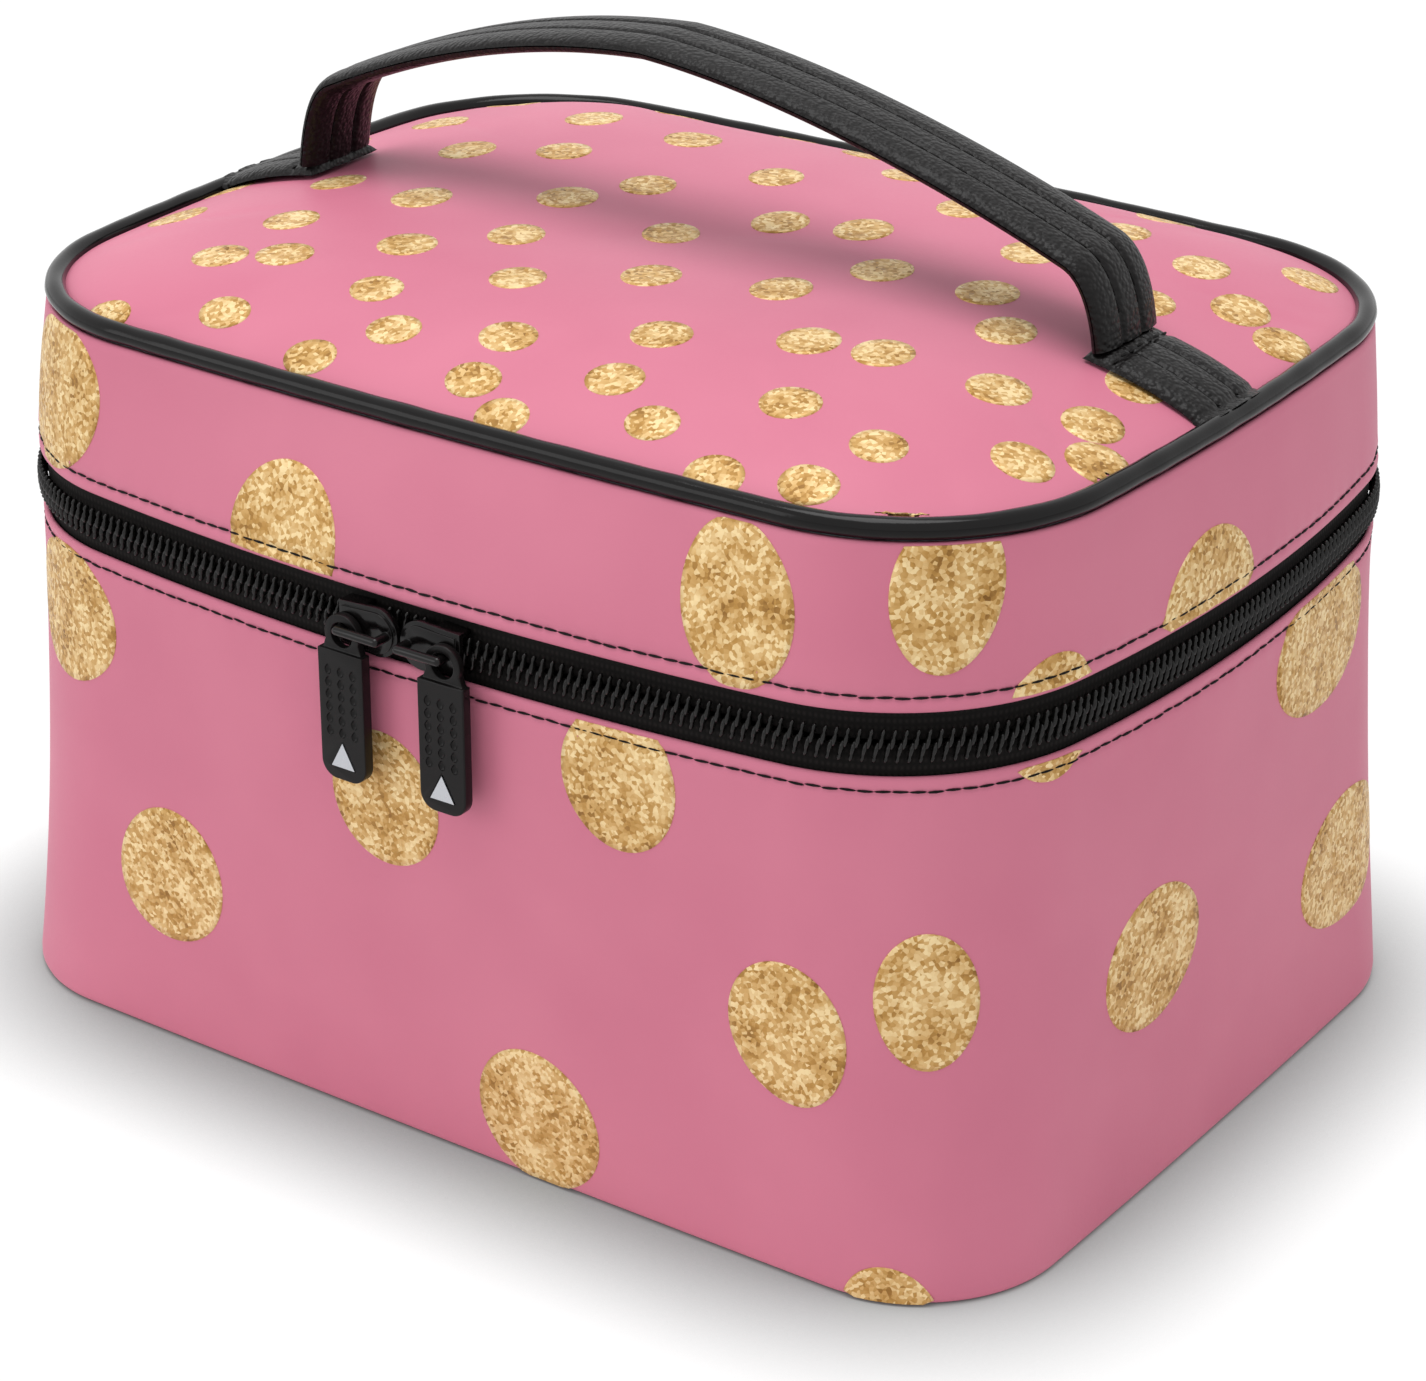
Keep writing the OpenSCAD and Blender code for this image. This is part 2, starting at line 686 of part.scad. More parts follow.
// --- Zip pulls -----------------------------------------------------------------------------
// A pull is moulded in one: an eye that hangs on the tail post of the bridge, and a tab.
tab_r = 3.4;
tab_top = -(eye_d / 2 + eye_rim) - 0.6;
tab_end = -pull_l;
inlay_w = 5.4;
inlay_h = 5;
inlay_z = tab_end + 2.6;
inlay_deep = 0.7;
inlay_fit = 0.1;
eye_drop = eye_d / 2 - bar_d / 2 - seat_gap;

module tab_outline() {
    translate([-pull_w / 2, tab_end + tab_r])
        square([pull_w, tab_top - tab_end - tab_r]);
    translate([-pull_w / 2 + tab_r, tab_end])
        square([pull_w - 2 * tab_r, tab_r]);
    for (x = [-1, 1])
        translate([x * (pull_w / 2 - tab_r), tab_end + tab_r])
            circle(tab_r);
}

module inlay_outline(grow)
    polygon([[-inlay_w / 2 - grow, inlay_z - grow], [inlay_w / 2 + grow, inlay_z - grow],
             [0, inlay_z + inlay_h + 1.6 * grow]]);

module pull() {
    eye_z = -eye_drop;
    difference() {
        union() {
            slab(eye_in, eye_out) {
                translate([0, eye_z])
                    circle(eye_d / 2 + eye_rim);
                polygon([[-eye_d / 2 - eye_rim + 0.3, eye_z - 1], [eye_d / 2 + eye_rim - 0.3, eye_z - 1],
                         [pull_w / 2 - 0.4, tab_top - 1], [-pull_w / 2 + 0.4, tab_top - 1]]);
            }
            slab(eye_in, eye_in + pull_t)
                tab_outline();
        }
        slab(eye_in - 1, eye_out + 1)
            translate([0, eye_z])
                circle(eye_d / 2);
        slab(eye_in + pull_t - inlay_deep, eye_in + pull_t + 1)
            inlay_outline(inlay_fit);
    }
}

module pull_inlay()
    slab(eye_in + pull_t - inlay_deep + inlay_fit, eye_in + pull_t + 0.2)
        inlay_outline(0);

module at_left_post()
    on_front(slider_meet - slider_at)
        translate([bar_tail, 0, 0])
            children();
module at_right_post()
    on_front(slider_meet + slider_at)
        translate([-bar_tail, 0, 0])
            children();

module pull_left() color(black) at_left_post() pull();
module pull_right() color(black) at_right_post() pull();
module pull_inlay_left() color(silver) at_left_post() pull_inlay();
module pull_inlay_right() color(silver) at_right_post() pull_inlay();

base_side_band();
base_wall_foam();
base_wall_board();
base_wall_lining();
base_bottom_panel();
base_bottom_board();
base_floor_lining();
zip_tape_lower();
zip_coil_lower();
hinge_panel();
hinge_lining();
lid_side_band();
lid_wall_foam();
lid_wall_board();
lid_wall_lining();
lid_top_panel();
lid_top_foam();
lid_top_board();
lid_top_lining();
top_piping();
top_piping_core();
zip_tape_upper();
zip_coil_upper();
handle_anchor_left();
handle_anchor_right();
handle_strap();
handle_padding();
handle_underlay();
handle_leg_left();
handle_leg_right();
slider_left();
slider_right();
pull_left();
pull_right();
pull_inlay_left();
pull_inlay_right();
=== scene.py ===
import bpy
import math
import random
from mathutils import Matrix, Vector
from mathutils.bvhtree import BVHTree


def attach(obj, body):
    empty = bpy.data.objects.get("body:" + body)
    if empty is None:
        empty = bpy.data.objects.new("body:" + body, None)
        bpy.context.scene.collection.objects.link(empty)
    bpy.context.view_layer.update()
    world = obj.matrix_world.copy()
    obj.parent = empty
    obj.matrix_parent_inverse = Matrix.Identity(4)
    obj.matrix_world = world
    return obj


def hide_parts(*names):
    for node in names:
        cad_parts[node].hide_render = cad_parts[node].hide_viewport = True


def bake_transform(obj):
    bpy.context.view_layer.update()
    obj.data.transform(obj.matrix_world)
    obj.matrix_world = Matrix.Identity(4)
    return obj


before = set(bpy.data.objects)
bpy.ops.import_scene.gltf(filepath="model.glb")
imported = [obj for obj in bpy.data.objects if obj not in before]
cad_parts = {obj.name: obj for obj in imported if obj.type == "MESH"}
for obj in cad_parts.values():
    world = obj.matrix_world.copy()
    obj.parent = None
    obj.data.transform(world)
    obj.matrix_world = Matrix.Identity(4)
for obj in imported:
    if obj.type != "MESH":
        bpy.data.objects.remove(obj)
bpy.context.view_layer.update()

# ---- Pink skin of the base ---------------------------------------------------------------
# The base's wall is one loop of cloth coated with soft polyurethane, stretched over foam
# and board and turned under at the foot. Its upper edge is folded round the zip tape and
# top-stitched, and the thread pulls a shallow groove into the foam.


def arcs(half_w, half_d, r, bow_x, bow_y):
    # eight arcs that meet in common tangents: [centre, radius, first angle, last angle]
    x, y = half_w - r - bow_x, half_d - r - bow_y
    long_r = r + (x * x + bow_y * bow_y) / (2 * bow_y)
    end_r = r + (y * y + bow_x * bow_x) / (2 * bow_x)
    lc, ec, pi = half_d - long_r, half_w - end_r, math.pi
    te, tl = math.atan2(y, x - ec), math.atan2(y - lc, x)
    return [((0, lc), long_r, pi / 2, pi - tl), ((-x, y), r, pi - tl, pi - te),
            ((-ec, 0), end_r, pi - te, pi + te), ((-x, -y), r, pi + te, pi + tl),
            ((0, -lc), long_r, pi + tl, 2 * pi - tl), ((x, -y), r, 2 * pi - tl, 2 * pi - te),
            ((ec, 0), end_r, 2 * pi - te, 2 * pi + te), ((x, y), r, 2 * pi + te, 2 * pi + tl),
            ((0, lc), long_r, 2 * pi + tl, 2.5 * pi)]


ZIP_LINE = arcs(122, 96, 45, 3.7, 4.8)
FOOT_LINE = arcs(121.5, 91, 31, 0.5, 0.5)
SEAM_LINE = arcs(118.5, 88, 43, 1.5, 1.5)
ARC_LENGTHS = [g[1] * (g[3] - g[2]) for g in ZIP_LINE]
ROUND = sum(ARC_LENGTHS)
FRONT = ROUND / 2
BASE_RIM, LID_RIM, ZIP_Z, SEAM_Z = 103.0, 115.2, 109.1, 146.0
# how many steps each kind of piece takes round the case
WALL_STEPS, ROLL_STEPS, LINING_STEPS, PANEL_STEPS = 720, 480, 360, 240


def stop_at(u):
    # which arc a place lies on, u mm from the middle of the back, and how far along it
    u = u % ROUND
    for i, length in enumerate(ARC_LENGTHS):
        if u <= length or i == 8:
            return i, u / length
        u -= length


def on_line(line, stop, off):
    # that place on a line of arcs, standing out from it by off
    (cx, cy), r, first, last = line[stop[0]]
    a = first + stop[1] * (last - first)
    return cx + (r + off) * math.cos(a), cy + (r + off) * math.sin(a)


def wall_point(u, z, off=0.0):
    # a point of the wall u mm round it and at height z, standing out from it by off
    stop = stop_at(u)
    x, y = on_line(ZIP_LINE, stop, off)
    line, k = FOOT_LINE, max(0.0, 1 - max(0.0, z) / 97.8) ** 1.6
    if z > LID_RIM:
        line, k = SEAM_LINE, min(1.0, max(0.0, z - 117) / 28) ** 1.25
    fx, fy = on_line(line, stop, off)
    return x + (fx - x) * k, y + (fy - y) * k, z


def wrap(name, around, across, place, smooth=180):
    # a grid laid out point by point, in millimetres, and closed where its edges meet
    bpy.ops.object.select_all(action="DESELECT")
    bpy.ops.mesh.primitive_grid_add(x_subdivisions=around, y_subdivisions=across, size=1)
    piece = bpy.context.object
    piece.name = piece.data.name = name
    spots = [place(i, j) for j in range(across + 1) for i in range(around + 1)]
    row = around + 1
    along, up = [0.0], [0.0]
    middle = (across // 2) * row
    for i in range(around):
        along.append(along[-1] + math.dist(spots[middle + i], spots[middle + i + 1]))
    for j in range(across):
        up.append(up[-1] + math.dist(spots[j * row], spots[(j + 1) * row]))
    threads = piece.data.uv_layers.active.data
    for loop in piece.data.loops:
        threads[loop.index].uv = (along[loop.vertex_index % row],
                                  up[loop.vertex_index // row])
    for vertex, spot in zip(piece.data.vertices, spots):
        vertex.co = [c / 1000 for c in spot]
    bpy.ops.object.mode_set(mode="EDIT")
    bpy.ops.mesh.select_all(action="SELECT")
    bpy.ops.mesh.remove_doubles(threshold=2e-6)
    bpy.ops.mesh.fill_holes(sides=0)
    bpy.ops.mesh.select_all(action="SELECT")
    bpy.ops.mesh.normals_make_consistent(inside=False)
    bpy.ops.object.mode_set(mode="OBJECT")
    bpy.ops.object.shade_smooth_by_angle(angle=math.radians(smooth))
    return piece


def alone(piece):
    # selects one piece and makes it the active one
    bpy.ops.object.select_all(action="DESELECT")
    bpy.context.view_layer.objects.active = piece
    piece.select_set(True)


def linear(shade):
    # a shade written as sRGB in six hex digits, in linear light
    value = int(shade[1:], 16)
    parts = [(value >> shift & 255) / 255 for shift in (16, 8, 0)]
    return tuple(c / 12.92 if c <= 0.04045 else ((c + 0.055) / 1.055) ** 2.4
                 for c in parts) + (1.0,)


def finish_named(name, shade, **sockets):
    # a material with its constant sockets; returns it, its nodes and its shader
    material = bpy.data.materials.new(name)
    material.use_nodes = True
    shader = material.node_tree.nodes["Principled BSDF"]
    shader.inputs["Base Color"].default_value = linear(shade)
    material.diffuse_color = linear(shade)
    for socket, value in sockets.items():
        shader.inputs[socket.replace("_", " ")].default_value = value
    return material, material.node_tree, shader


def plug(tree, shader, **outputs):
    # links one output to each named socket of the shader
    for socket, output in outputs.items():
        tree.links.new(output, shader.inputs[socket.replace("_", " ")])


def add(tree, kind, values=(), links=(), shades=(), **settings):
    # one node with its settings, input values, links and, on a ramp, its shades
    made = tree.nodes.new("ShaderNode" + kind)
    for name, value in settings.items():
        setattr(made, name, value)
    for name, value in dict(values).items():
        made.inputs[name].default_value = value
    for name, source in dict(links).items():
        tree.links.new(source, made.inputs[name])
    for k, (place, shade) in enumerate(shades):
        stop = made.color_ramp.elements[k] if k < 2 else made.color_ramp.elements.new(place)
        stop.position, stop.color = place, linear(shade)
    return made


def noise(tree, spot, size, detail, **values):
    # the value of a noise texture whose features are about that size, in metres
    values = {"Scale": 1 / size, "Detail": detail, **values}
    return add(tree, "TexNoise", values, {"Vector": spot}).outputs["Fac"]


def bump(tree, strength, depth, height, **settings):
    # the normal of a relief of that depth, in metres
    return add(tree, "Bump", {"Strength": strength, "Distance": depth},
               {"Height": height}, **settings).outputs["Normal"]


def span(tree, low, high, value):
    # a value from 0 to 1 brought between low and high
    return add(tree, "MapRange", {"To Min": low, "To Max": high},
               {"Value": value}).outputs["Result"]


# Polyurethane-coated polyester: the soft coat is cast on release paper, which leaves a fine
# leather grain of about 0.9 mm and a broad, silky highlight. The foam under it shades
# the pink a little from place to place.
pink_coat, tree, shader = finish_named("pink_coated_fabric", "#DA8098", Roughness=0.5,
                                       Specular_IOR_Level=0.2)
spot = add(tree, "TexCoord").outputs["Object"]
patches = noise(tree, spot, 0.035, 2.0)
tint = add(tree, "ValToRGB", links={"Fac": patches},
           shades=[(0.3, "#D77C95"), (0.7, "#DD839B")])
grain = noise(tree, spot, 0.0009, 3.0, Roughness=0.62)
sheen = span(tree, 0.40, 0.54, grain)
relief = bump(tree, 0.22, 0.00012, grain)
plug(tree, shader, Base_Color=tint.outputs["Color"], Roughness=sheen, Normal=relief)


def slack(u, z):
    # the foam's soft unevenness under the skin
    turn = 2 * math.pi * u / ROUND
    return (0.24 * math.sin(5 * turn + 0.8) * math.sin(0.031 * z + 0.4)
            + 0.13 * math.sin(13 * turn + z / 19) + 0.05 * math.sin(29 * turn - z / 11))


def pulled(u, z, row):
    # the groove that a row of stitches pulls in, and the small puckers beside it
    turn = 2 * math.pi * u / ROUND
    ripple = math.sin(127 * turn + 2 * math.sin(9 * turn))
    return (-0.42 * math.exp(-((z - row) / 0.9) ** 2)
            + 0.07 * ripple * math.exp(-((z - row) / 3.2) ** 2))


BASE_ROW, LID_ROW = 100.2, 118.0


def base_face(u, z):
    return slack(u, z) * min(1.0, (BASE_RIM - z) / 6, z / 8 + 0.2) + pulled(u, z, BASE_ROW)


foot_turn = [(-1.2, 97), (-1.2, 60), (-1.2, 30), (-1.2, 4), (-1.6, 2), (-2.1, 1.3),
             (-2.0, 0.5), (-1.35, 0.2), (-0.65, 0.55), (-0.2, 1.4)]
face = [(0, z) for z in (2.6, 5, 9, 15, 22, 30, 38, 46, 54, 62, 70, 78, 85, 91, 95, 97.5,
                         98.8, 99.4, 99.8, 100.2, 100.6, 101.0, 101.7)]
fold = [(-0.05, 102.5), (-0.35, 102.95), (-0.75, 103.05), (-1.1, 102.8), (-1.2, 102.2),
        (-1.2, 100)]
base_section = foot_turn + face + fold


def base_skin_point(i, j):
    off, z = base_section[j % len(base_section)]
    u = ROUND * i / WALL_STEPS
    if len(foot_turn) <= j < len(foot_turn) + len(face):
        off += base_face(u, z)
    return wall_point(u, z, off)


base_skin = wrap("base_skin", WALL_STEPS, len(base_section), base_skin_point)
base_skin.data.materials.append(pink_coat)
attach(base_skin, "base")
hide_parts("base_side_band")

# ---- Sole of the base --------------------------------------------------------------------
# A flat panel of the same coated cloth over board, sewn to the turned foot of the wall.
sole_section = [(1, -2.1, 1.2), (1, -2.05, 0.7), (1, -2.3, 0.2), (1, -3.0, 0.0),
                (0.8, -3.0, 0.0), (0.4, -3.0, 0.0), (0, -3.0, 0.0), (0, -3.0, 1.2)]


def sole_point(i, j):
    share, off, z = sole_section[j % len(sole_section)]
    x, y = on_line(FOOT_LINE, stop_at(ROUND * i / PANEL_STEPS), off)
    return share * x, share * y, z


sole = wrap("base_sole", PANEL_STEPS, len(sole_section), sole_point, 40)
sole.data.materials.append(pink_coat)
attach(sole, "base")
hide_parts("base_bottom_panel")

# ---- Pink skin of the lid wall -----------------------------------------------------------
# The same coated cloth, folded over the upper zip tape and top-stitched; its upper edge
# runs in under the piping, where the top seam is sewn.


def lid_face(u, z):
    return slack(u, z) * min(1.0, (z - LID_RIM) / 6, (145 - z) / 6) + pulled(u, z, LID_ROW)


lid_fold = [(-1.2, 118), (-1.2, 116), (-1.1, 115.5), (-0.75, 115.2), (-0.35, 115.25),
            (-0.05, 115.7)]
lid_face_rows = [(0, z) for z in (116.5, 117.2, 117.6, 118.0, 118.4, 118.9, 119.6, 121, 124,
                                  128, 132, 136, 140, 143, 144.4)]
lid_edge = [(-0.3, 144.9), (-1.1, 145.0), (-1.2, 144), (-1.2, 132)]
lid_section = lid_fold + lid_face_rows + lid_edge


def lid_skin_point(i, j):
    off, z = lid_section[j % len(lid_section)]
    u = ROUND * i / WALL_STEPS
    if len(lid_fold) <= j < len(lid_fold) + len(lid_face_rows):
        off += lid_face(u, z)
    return wall_point(u, z, off)


lid_skin = wrap("lid_skin", WALL_STEPS, len(lid_section), lid_skin_point)
lid_skin.data.materials.append(pink_coat)
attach(lid_skin, "lid")
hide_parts("lid_side_band")

# ---- Padded lid top ----------------------------------------------------------------------
# A panel of the coated cloth drawn over soft foam and sewn in under the piping all
# round, so it stands up as a cushion with a rolled edge.
PANEL_OFF = -4.0
PANEL_HALF, PANEL_DEEP, PANEL_CORNER = [m + PANEL_OFF for m in (118.5, 88, 43)]


def dome_height(t):
    return SEAM_Z + 10 * (1 - min(1.0, t) ** 6) + 1.2


cushion_rings = [(1.012, 145.6), (1.008, 146.4), (1.0, 147.3)] + [
    (t, None) for t in (0.995, 0.985, 0.97, 0.95, 0.925, 0.89, 0.85, 0.8, 0.74, 0.67, 0.58,
                        0.48, 0.36, 0.24, 0.12, 0.0)] + [(0.0, 145.6)]


def cushion_point(i, j):
    t, z = cushion_rings[j % len(cushion_rings)]
    u = ROUND * i / PANEL_STEPS
    x, y = on_line(SEAM_LINE, stop_at(u), PANEL_OFF)
    if z is None:
        turn = 2 * math.pi * u / ROUND
        z = dome_height(t) + 0.25 * t ** 4 * (1 - t) * 10 * math.sin(11 * turn)
        z += 0.15 * math.sin(x * t / 17 + 1) * math.sin(y * t / 14)
    return t * x, t * y, z


cushion = wrap("lid_cushion", PANEL_STEPS, len(cushion_rings), cushion_point)
# The foam's push: the cloth is held at its sewn edge and puffed out from inside, and no
# point moves more than 1.2 mm.
laid = [v.co.copy() for v in cushion.data.vertices]
edge = cushion.vertex_groups.new(name="sewn_edge")
edge.add([v.index for v in cushion.data.vertices if v.co.z < 0.1482], 1.0, "REPLACE")
puff = cushion.modifiers.new("puff", "CLOTH")
puff.settings.vertex_group_mass = "sewn_edge"
puff.settings.use_pressure = True
puff.settings.uniform_pressure_force = 4.0
puff.settings.effector_weights.gravity = 0.0
for moment in range(1, 21):
    bpy.context.scene.frame_set(moment)
bpy.ops.object.modifier_apply(modifier="puff")
bpy.context.scene.frame_set(1)
for v, start in zip(cushion.data.vertices, laid):
    step = v.co - start
    v.co = start + step * min(1.0, 0.0012 / max(1e-9, step.length))
cushion.modifiers.new("smooth_cloth", "SUBSURF").levels = 1
bpy.ops.object.modifier_apply(modifier="smooth_cloth")
cushion.data.materials.append(pink_coat)
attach(cushion, "lid")
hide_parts("lid_top_panel")

# ---- Piping round the lid top ------------------------------------------------------------
# A strip of glossy black polyurethane folded round a cord and sewn into the top seam.


def piping_point(i, j):
    a = 2 * math.pi * j / 16
    u = ROUND * i / ROLL_STEPS
    turn = 2 * math.pi * u / ROUND
    r = 2.02 + 0.03 * math.sin(37 * turn) + 0.03 * math.sin(61 * turn + 1)
    x, y = on_line(SEAM_LINE, stop_at(u), -1.8 + r * math.cos(a))
    return x, y, 147 + r * math.sin(a)


# Glossy polyurethane: a thin film coat, smooth enough to draw long bright streaks along
# the roll, with a very fine grain of 0.7 mm.
gloss_coat, tree, shader = finish_named("glossy_black_polyurethane", "#0B0909",
                                        Roughness=0.16, Specular_IOR_Level=0.2,
                                        Coat_Weight=0.06, Coat_Roughness=0.06)
spot = add(tree, "TexCoord").outputs["Object"]
grain = noise(tree, spot, 0.0007, 2.0)
relief = bump(tree, 0.15, 0.0001, grain)
wear = span(tree, 0.1, 0.22, grain)
plug(tree, shader, Normal=relief, Roughness=wear)
piping = wrap("lid_piping", ROLL_STEPS, 16, piping_point)
piping.data.materials.append(gloss_coat)
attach(piping, "lid")
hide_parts("top_piping", "top_piping_core")

# ---- Zip tapes ---------------------------------------------------------------------------
# Two woven polyester tapes, sewn in behind the folded edges of base and lid. They run
# all round but for the cloth hinge at the back.
# Woven tape: warp ribs about 1.4 mm apart, dull with a faint silky light.
tape_weave, tree, shader = finish_named("woven_zip_tape", "#141210", Roughness=0.7,
                                        Specular_IOR_Level=0.12)
threads = add(tree, "TexCoord").outputs["UV"]
ribs = add(tree, "TexWave", {"Scale": 0.22, "Distortion": 0.6, "Detail": 1.0},
           {"Vector": threads}, bands_direction="Y")
picks = add(tree, "TexWave", {"Scale": 0.3, "Distortion": 0.8, "Detail": 1.0},
            {"Vector": threads}, bands_direction="X")
cross = add(tree, "Math", links={0: ribs.outputs["Fac"], 1: picks.outputs["Fac"]},
            operation="MULTIPLY")
tint = add(tree, "ValToRGB", links={"Fac": cross.outputs["Value"]},
           shades=[(0.0, "#0D0B0A"), (1.0, "#1E1B1A")])
relief = bump(tree, 0.5, 0.0001, cross.outputs["Value"])
plug(tree, shader, Base_Color=tint.outputs["Color"], Normal=relief)

TAPE_START = 47.0
for name, node, body, low, high in (("tape_base", "zip_tape_lower", "base", 98, 108.5),
                                    ("tape_lid", "zip_tape_upper", "lid", 109.7, 120.2)):
    tape_section = [(-1.95, low), (-1.95, high - 0.2), (-1.85, high), (-1.6, high),
                    (-1.45, high - 0.2), (-1.42, (low + high) / 2), (-1.42, low)]

    def tape_point(i, j):
        off, z = tape_section[j % len(tape_section)]
        return wall_point(TAPE_START + (ROUND - 2 * TAPE_START) * i / ROLL_STEPS, z, off)

    tape = wrap(name, ROLL_STEPS, len(tape_section), tape_point, 50)
    tape.data.materials.append(tape_weave)
    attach(tape, body)
    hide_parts(node)

# ---- Zip coil ----------------------------------------------------------------------------
# A nylon coil: each row is a filament wound in loops 2 mm apart and sewn to its tape. A
# loop shows as a short slanted bar with a rounded head that locks with the other row.


def copies(name, template, spots):
    # repeats the template's mesh at each spot, a function of its points, in millimetres
    points = [v.co.copy() for v in template.data.vertices]
    sides = [tuple(p.vertices) for p in template.data.polygons]
    mesh = bpy.data.meshes.new(name)
    mesh.from_pydata([[c / 1000 for c in spot(p)] for spot in spots for p in points], [],
                     [tuple(v + k * len(points) for v in side)
                      for k in range(len(spots)) for side in sides])
    bpy.data.objects.remove(template)
    piece = bpy.data.objects.new(name, mesh)
    bpy.context.scene.collection.objects.link(piece)
    alone(piece)
    bpy.ops.object.shade_smooth()
    return piece


# Nylon monofilament, dyed black: smooth, with a small sharp light on every loop.
nylon, tree, shader = finish_named("black_nylon_coil", "#100F0E", Roughness=0.22, IOR=1.53,
                                   Specular_IOR_Level=0.3)
spot = add(tree, "TexCoord").outputs["Object"]
scuff = noise(tree, spot, 0.0012, 2.0)
shine = span(tree, 0.14, 0.34, scuff)
plug(tree, shader, Roughness=shine)

# the loops' pitch, and how far right of the front's middle the two sliders meet
PITCH, MEET = 2.0, 2.0
TEETH = int((FRONT - 55 - 3) / PITCH)
for side, name, node, body in ((1, "coil_lid", "zip_coil_upper", "lid"),
                               (-1, "coil_base", "zip_coil_lower", "base")):
    bpy.ops.mesh.primitive_uv_sphere_add(segments=8, ring_count=12, radius=1)
    loop = bpy.context.object
    for v in loop.data.vertices:
        # a bar with a fuller head at the end that locks, pinched where it is sewn down
        head = 1 + 0.25 * max(0.0, -v.co.z * side)
        pinch = math.exp(-((v.co.z * side - 0.26) / 0.2) ** 2)
        v.co.x *= 0.52 * head * (1 - 0.35 * pinch)
        v.co.y *= 0.95 * (1 - 0.4 * pinch)
        v.co.z = math.copysign(abs(v.co.z) ** 0.75, v.co.z) * 1.95

    def at_tooth(k):
        u = FRONT + k * PITCH + (0 if side > 0 else PITCH / 2)
        parted = 1.5 if abs(u - FRONT - MEET) < 5.4 else 0.0
        z = ZIP_Z + side * (1.25 + parted)
        return lambda p: wall_point(u + p.x + 0.2 * p.z, z + p.z, -0.15 - p.y)

    coil = copies(name, loop, [at_tooth(k) for k in range(-TEETH, TEETH + 1)])
    coil.data.materials.append(nylon)
    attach(coil, body)
    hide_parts(node)

# ---- Stitch rows beside the zip ----------------------------------------------------------
# One row of black polyester thread holds each folded edge to its tape, about eight
# stitches in 25 mm, pulled tight so that they nearly touch; each sinks at its ends.
# Bonded thread: dull black with a faint twist.
thread, tree, shader = finish_named("bonded_black_thread", "#0E0C0C", Roughness=0.6,
                                    Specular_IOR_Level=0.15)
spot = add(tree, "TexCoord").outputs["Object"]
twist = noise(tree, spot, 0.0006, 1.0)
relief = bump(tree, 0.3, 0.0001, twist)
plug(tree, shader, Normal=relief)
# mm from stitch to stitch on the strap and the hinge; how many go round each wall row
STITCH_STEP, WALL_STITCHES = 3, 248


def stitch(length=3.15, width=0.5):
    bpy.ops.mesh.primitive_uv_sphere_add(segments=6, ring_count=4, radius=1,
                                         rotation=(0, math.pi / 2, 0))
    bpy.ops.object.transform_apply(rotation=True)
    made = bpy.context.object
    for v in made.data.vertices:
        v.co = (v.co.x * length / 2, v.co.y * 0.3, v.co.z * width / 2)
    return made


sewing = random.Random(5)
for name, body, row, face_of in (("stitches_base", "base", BASE_ROW, base_face),
                                 ("stitches_lid", "lid", LID_ROW, lid_face)):

    def at_stitch(k):
        u = ROUND * k / WALL_STITCHES
        tilt, drop = sewing.uniform(-0.05, 0.05), sewing.uniform(-0.1, 0.1)
        off = face_of(u, row) + 0.12
        return lambda p: wall_point(u + p.x, row + drop + p.z + tilt * p.x, off - p.y)

    row_piece = copies(name, stitch(), [at_stitch(k) for k in range(WALL_STITCHES)])
    row_piece.data.materials.append(thread)
    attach(row_piece, body)

# ---- Cloth hinge at the back -------------------------------------------------------------
# A strip of pebbled black polyurethane sewn across the zip's gap at the middle of the
# back, with a strip of lining behind it.
# Pebbled polyurethane: embossed with rounded pebbles of about 0.9 mm, half matt, with a
# grey sheen where light grazes it.
pebble, tree, shader = finish_named("pebbled_black_polyurethane", "#0F0D0D",
                                    Roughness=0.36, Specular_IOR_Level=0.2)
spot = add(tree, "TexCoord").outputs["Object"]
cells = add(tree, "TexVoronoi", {"Scale": 1 / 0.0009, "Smoothness": 0.6}, {"Vector": spot},
            feature="SMOOTH_F1")
fine = noise(tree, spot, 0.0005, 2.0)
tint = add(tree, "ValToRGB", links={"Fac": cells.outputs["Distance"]},
           shades=[(0.2, "#151313"), (0.8, "#090707")])
shine = span(tree, 0.24, 0.48, fine)
relief = bump(tree, 0.8, 0.0003, cells.outputs["Distance"], invert=True)
plug(tree, shader, Base_Color=tint.outputs["Color"], Roughness=shine, Normal=relief)

# Lining: plain-woven black polyester with threads of about 0.7 mm as drawn, dull and soft.
lining, tree, shader = finish_named("woven_lining", "#26262A", Roughness=0.8,
                                    Sheen_Weight=0.3, Sheen_Roughness=0.5)
spot = add(tree, "TexCoord").outputs["Object"]
weave = add(tree, "TexVoronoi", {"Scale": 1 / 0.0007, "Randomness": 0.15},
            {"Vector": spot})
patches = noise(tree, spot, 0.02, 2.0)
tint = add(tree, "ValToRGB", links={"Fac": patches},
           shades=[(0.3, "#222226"), (0.7, "#2C2C31")])
relief = bump(tree, 0.4, 0.0001, weave.outputs["Distance"])
plug(tree, shader, Base_Color=tint.outputs["Color"], Normal=relief)

HINGE_HALF, HINGE_LOW, HINGE_HIGH = 55.0, 96.0, 122.2


def hinge_place(inner, outer, low, high):
    # a flat strip with rounded long edges, its section followed round as j runs
    rows = [low + (high - low) * k / 24 for k in range(25)]
    section = [(outer - (0.45 if k in (0, 24) else 0), z) for k, z in enumerate(rows)]
    section += [(inner, z) for z in reversed(rows)]
    return section


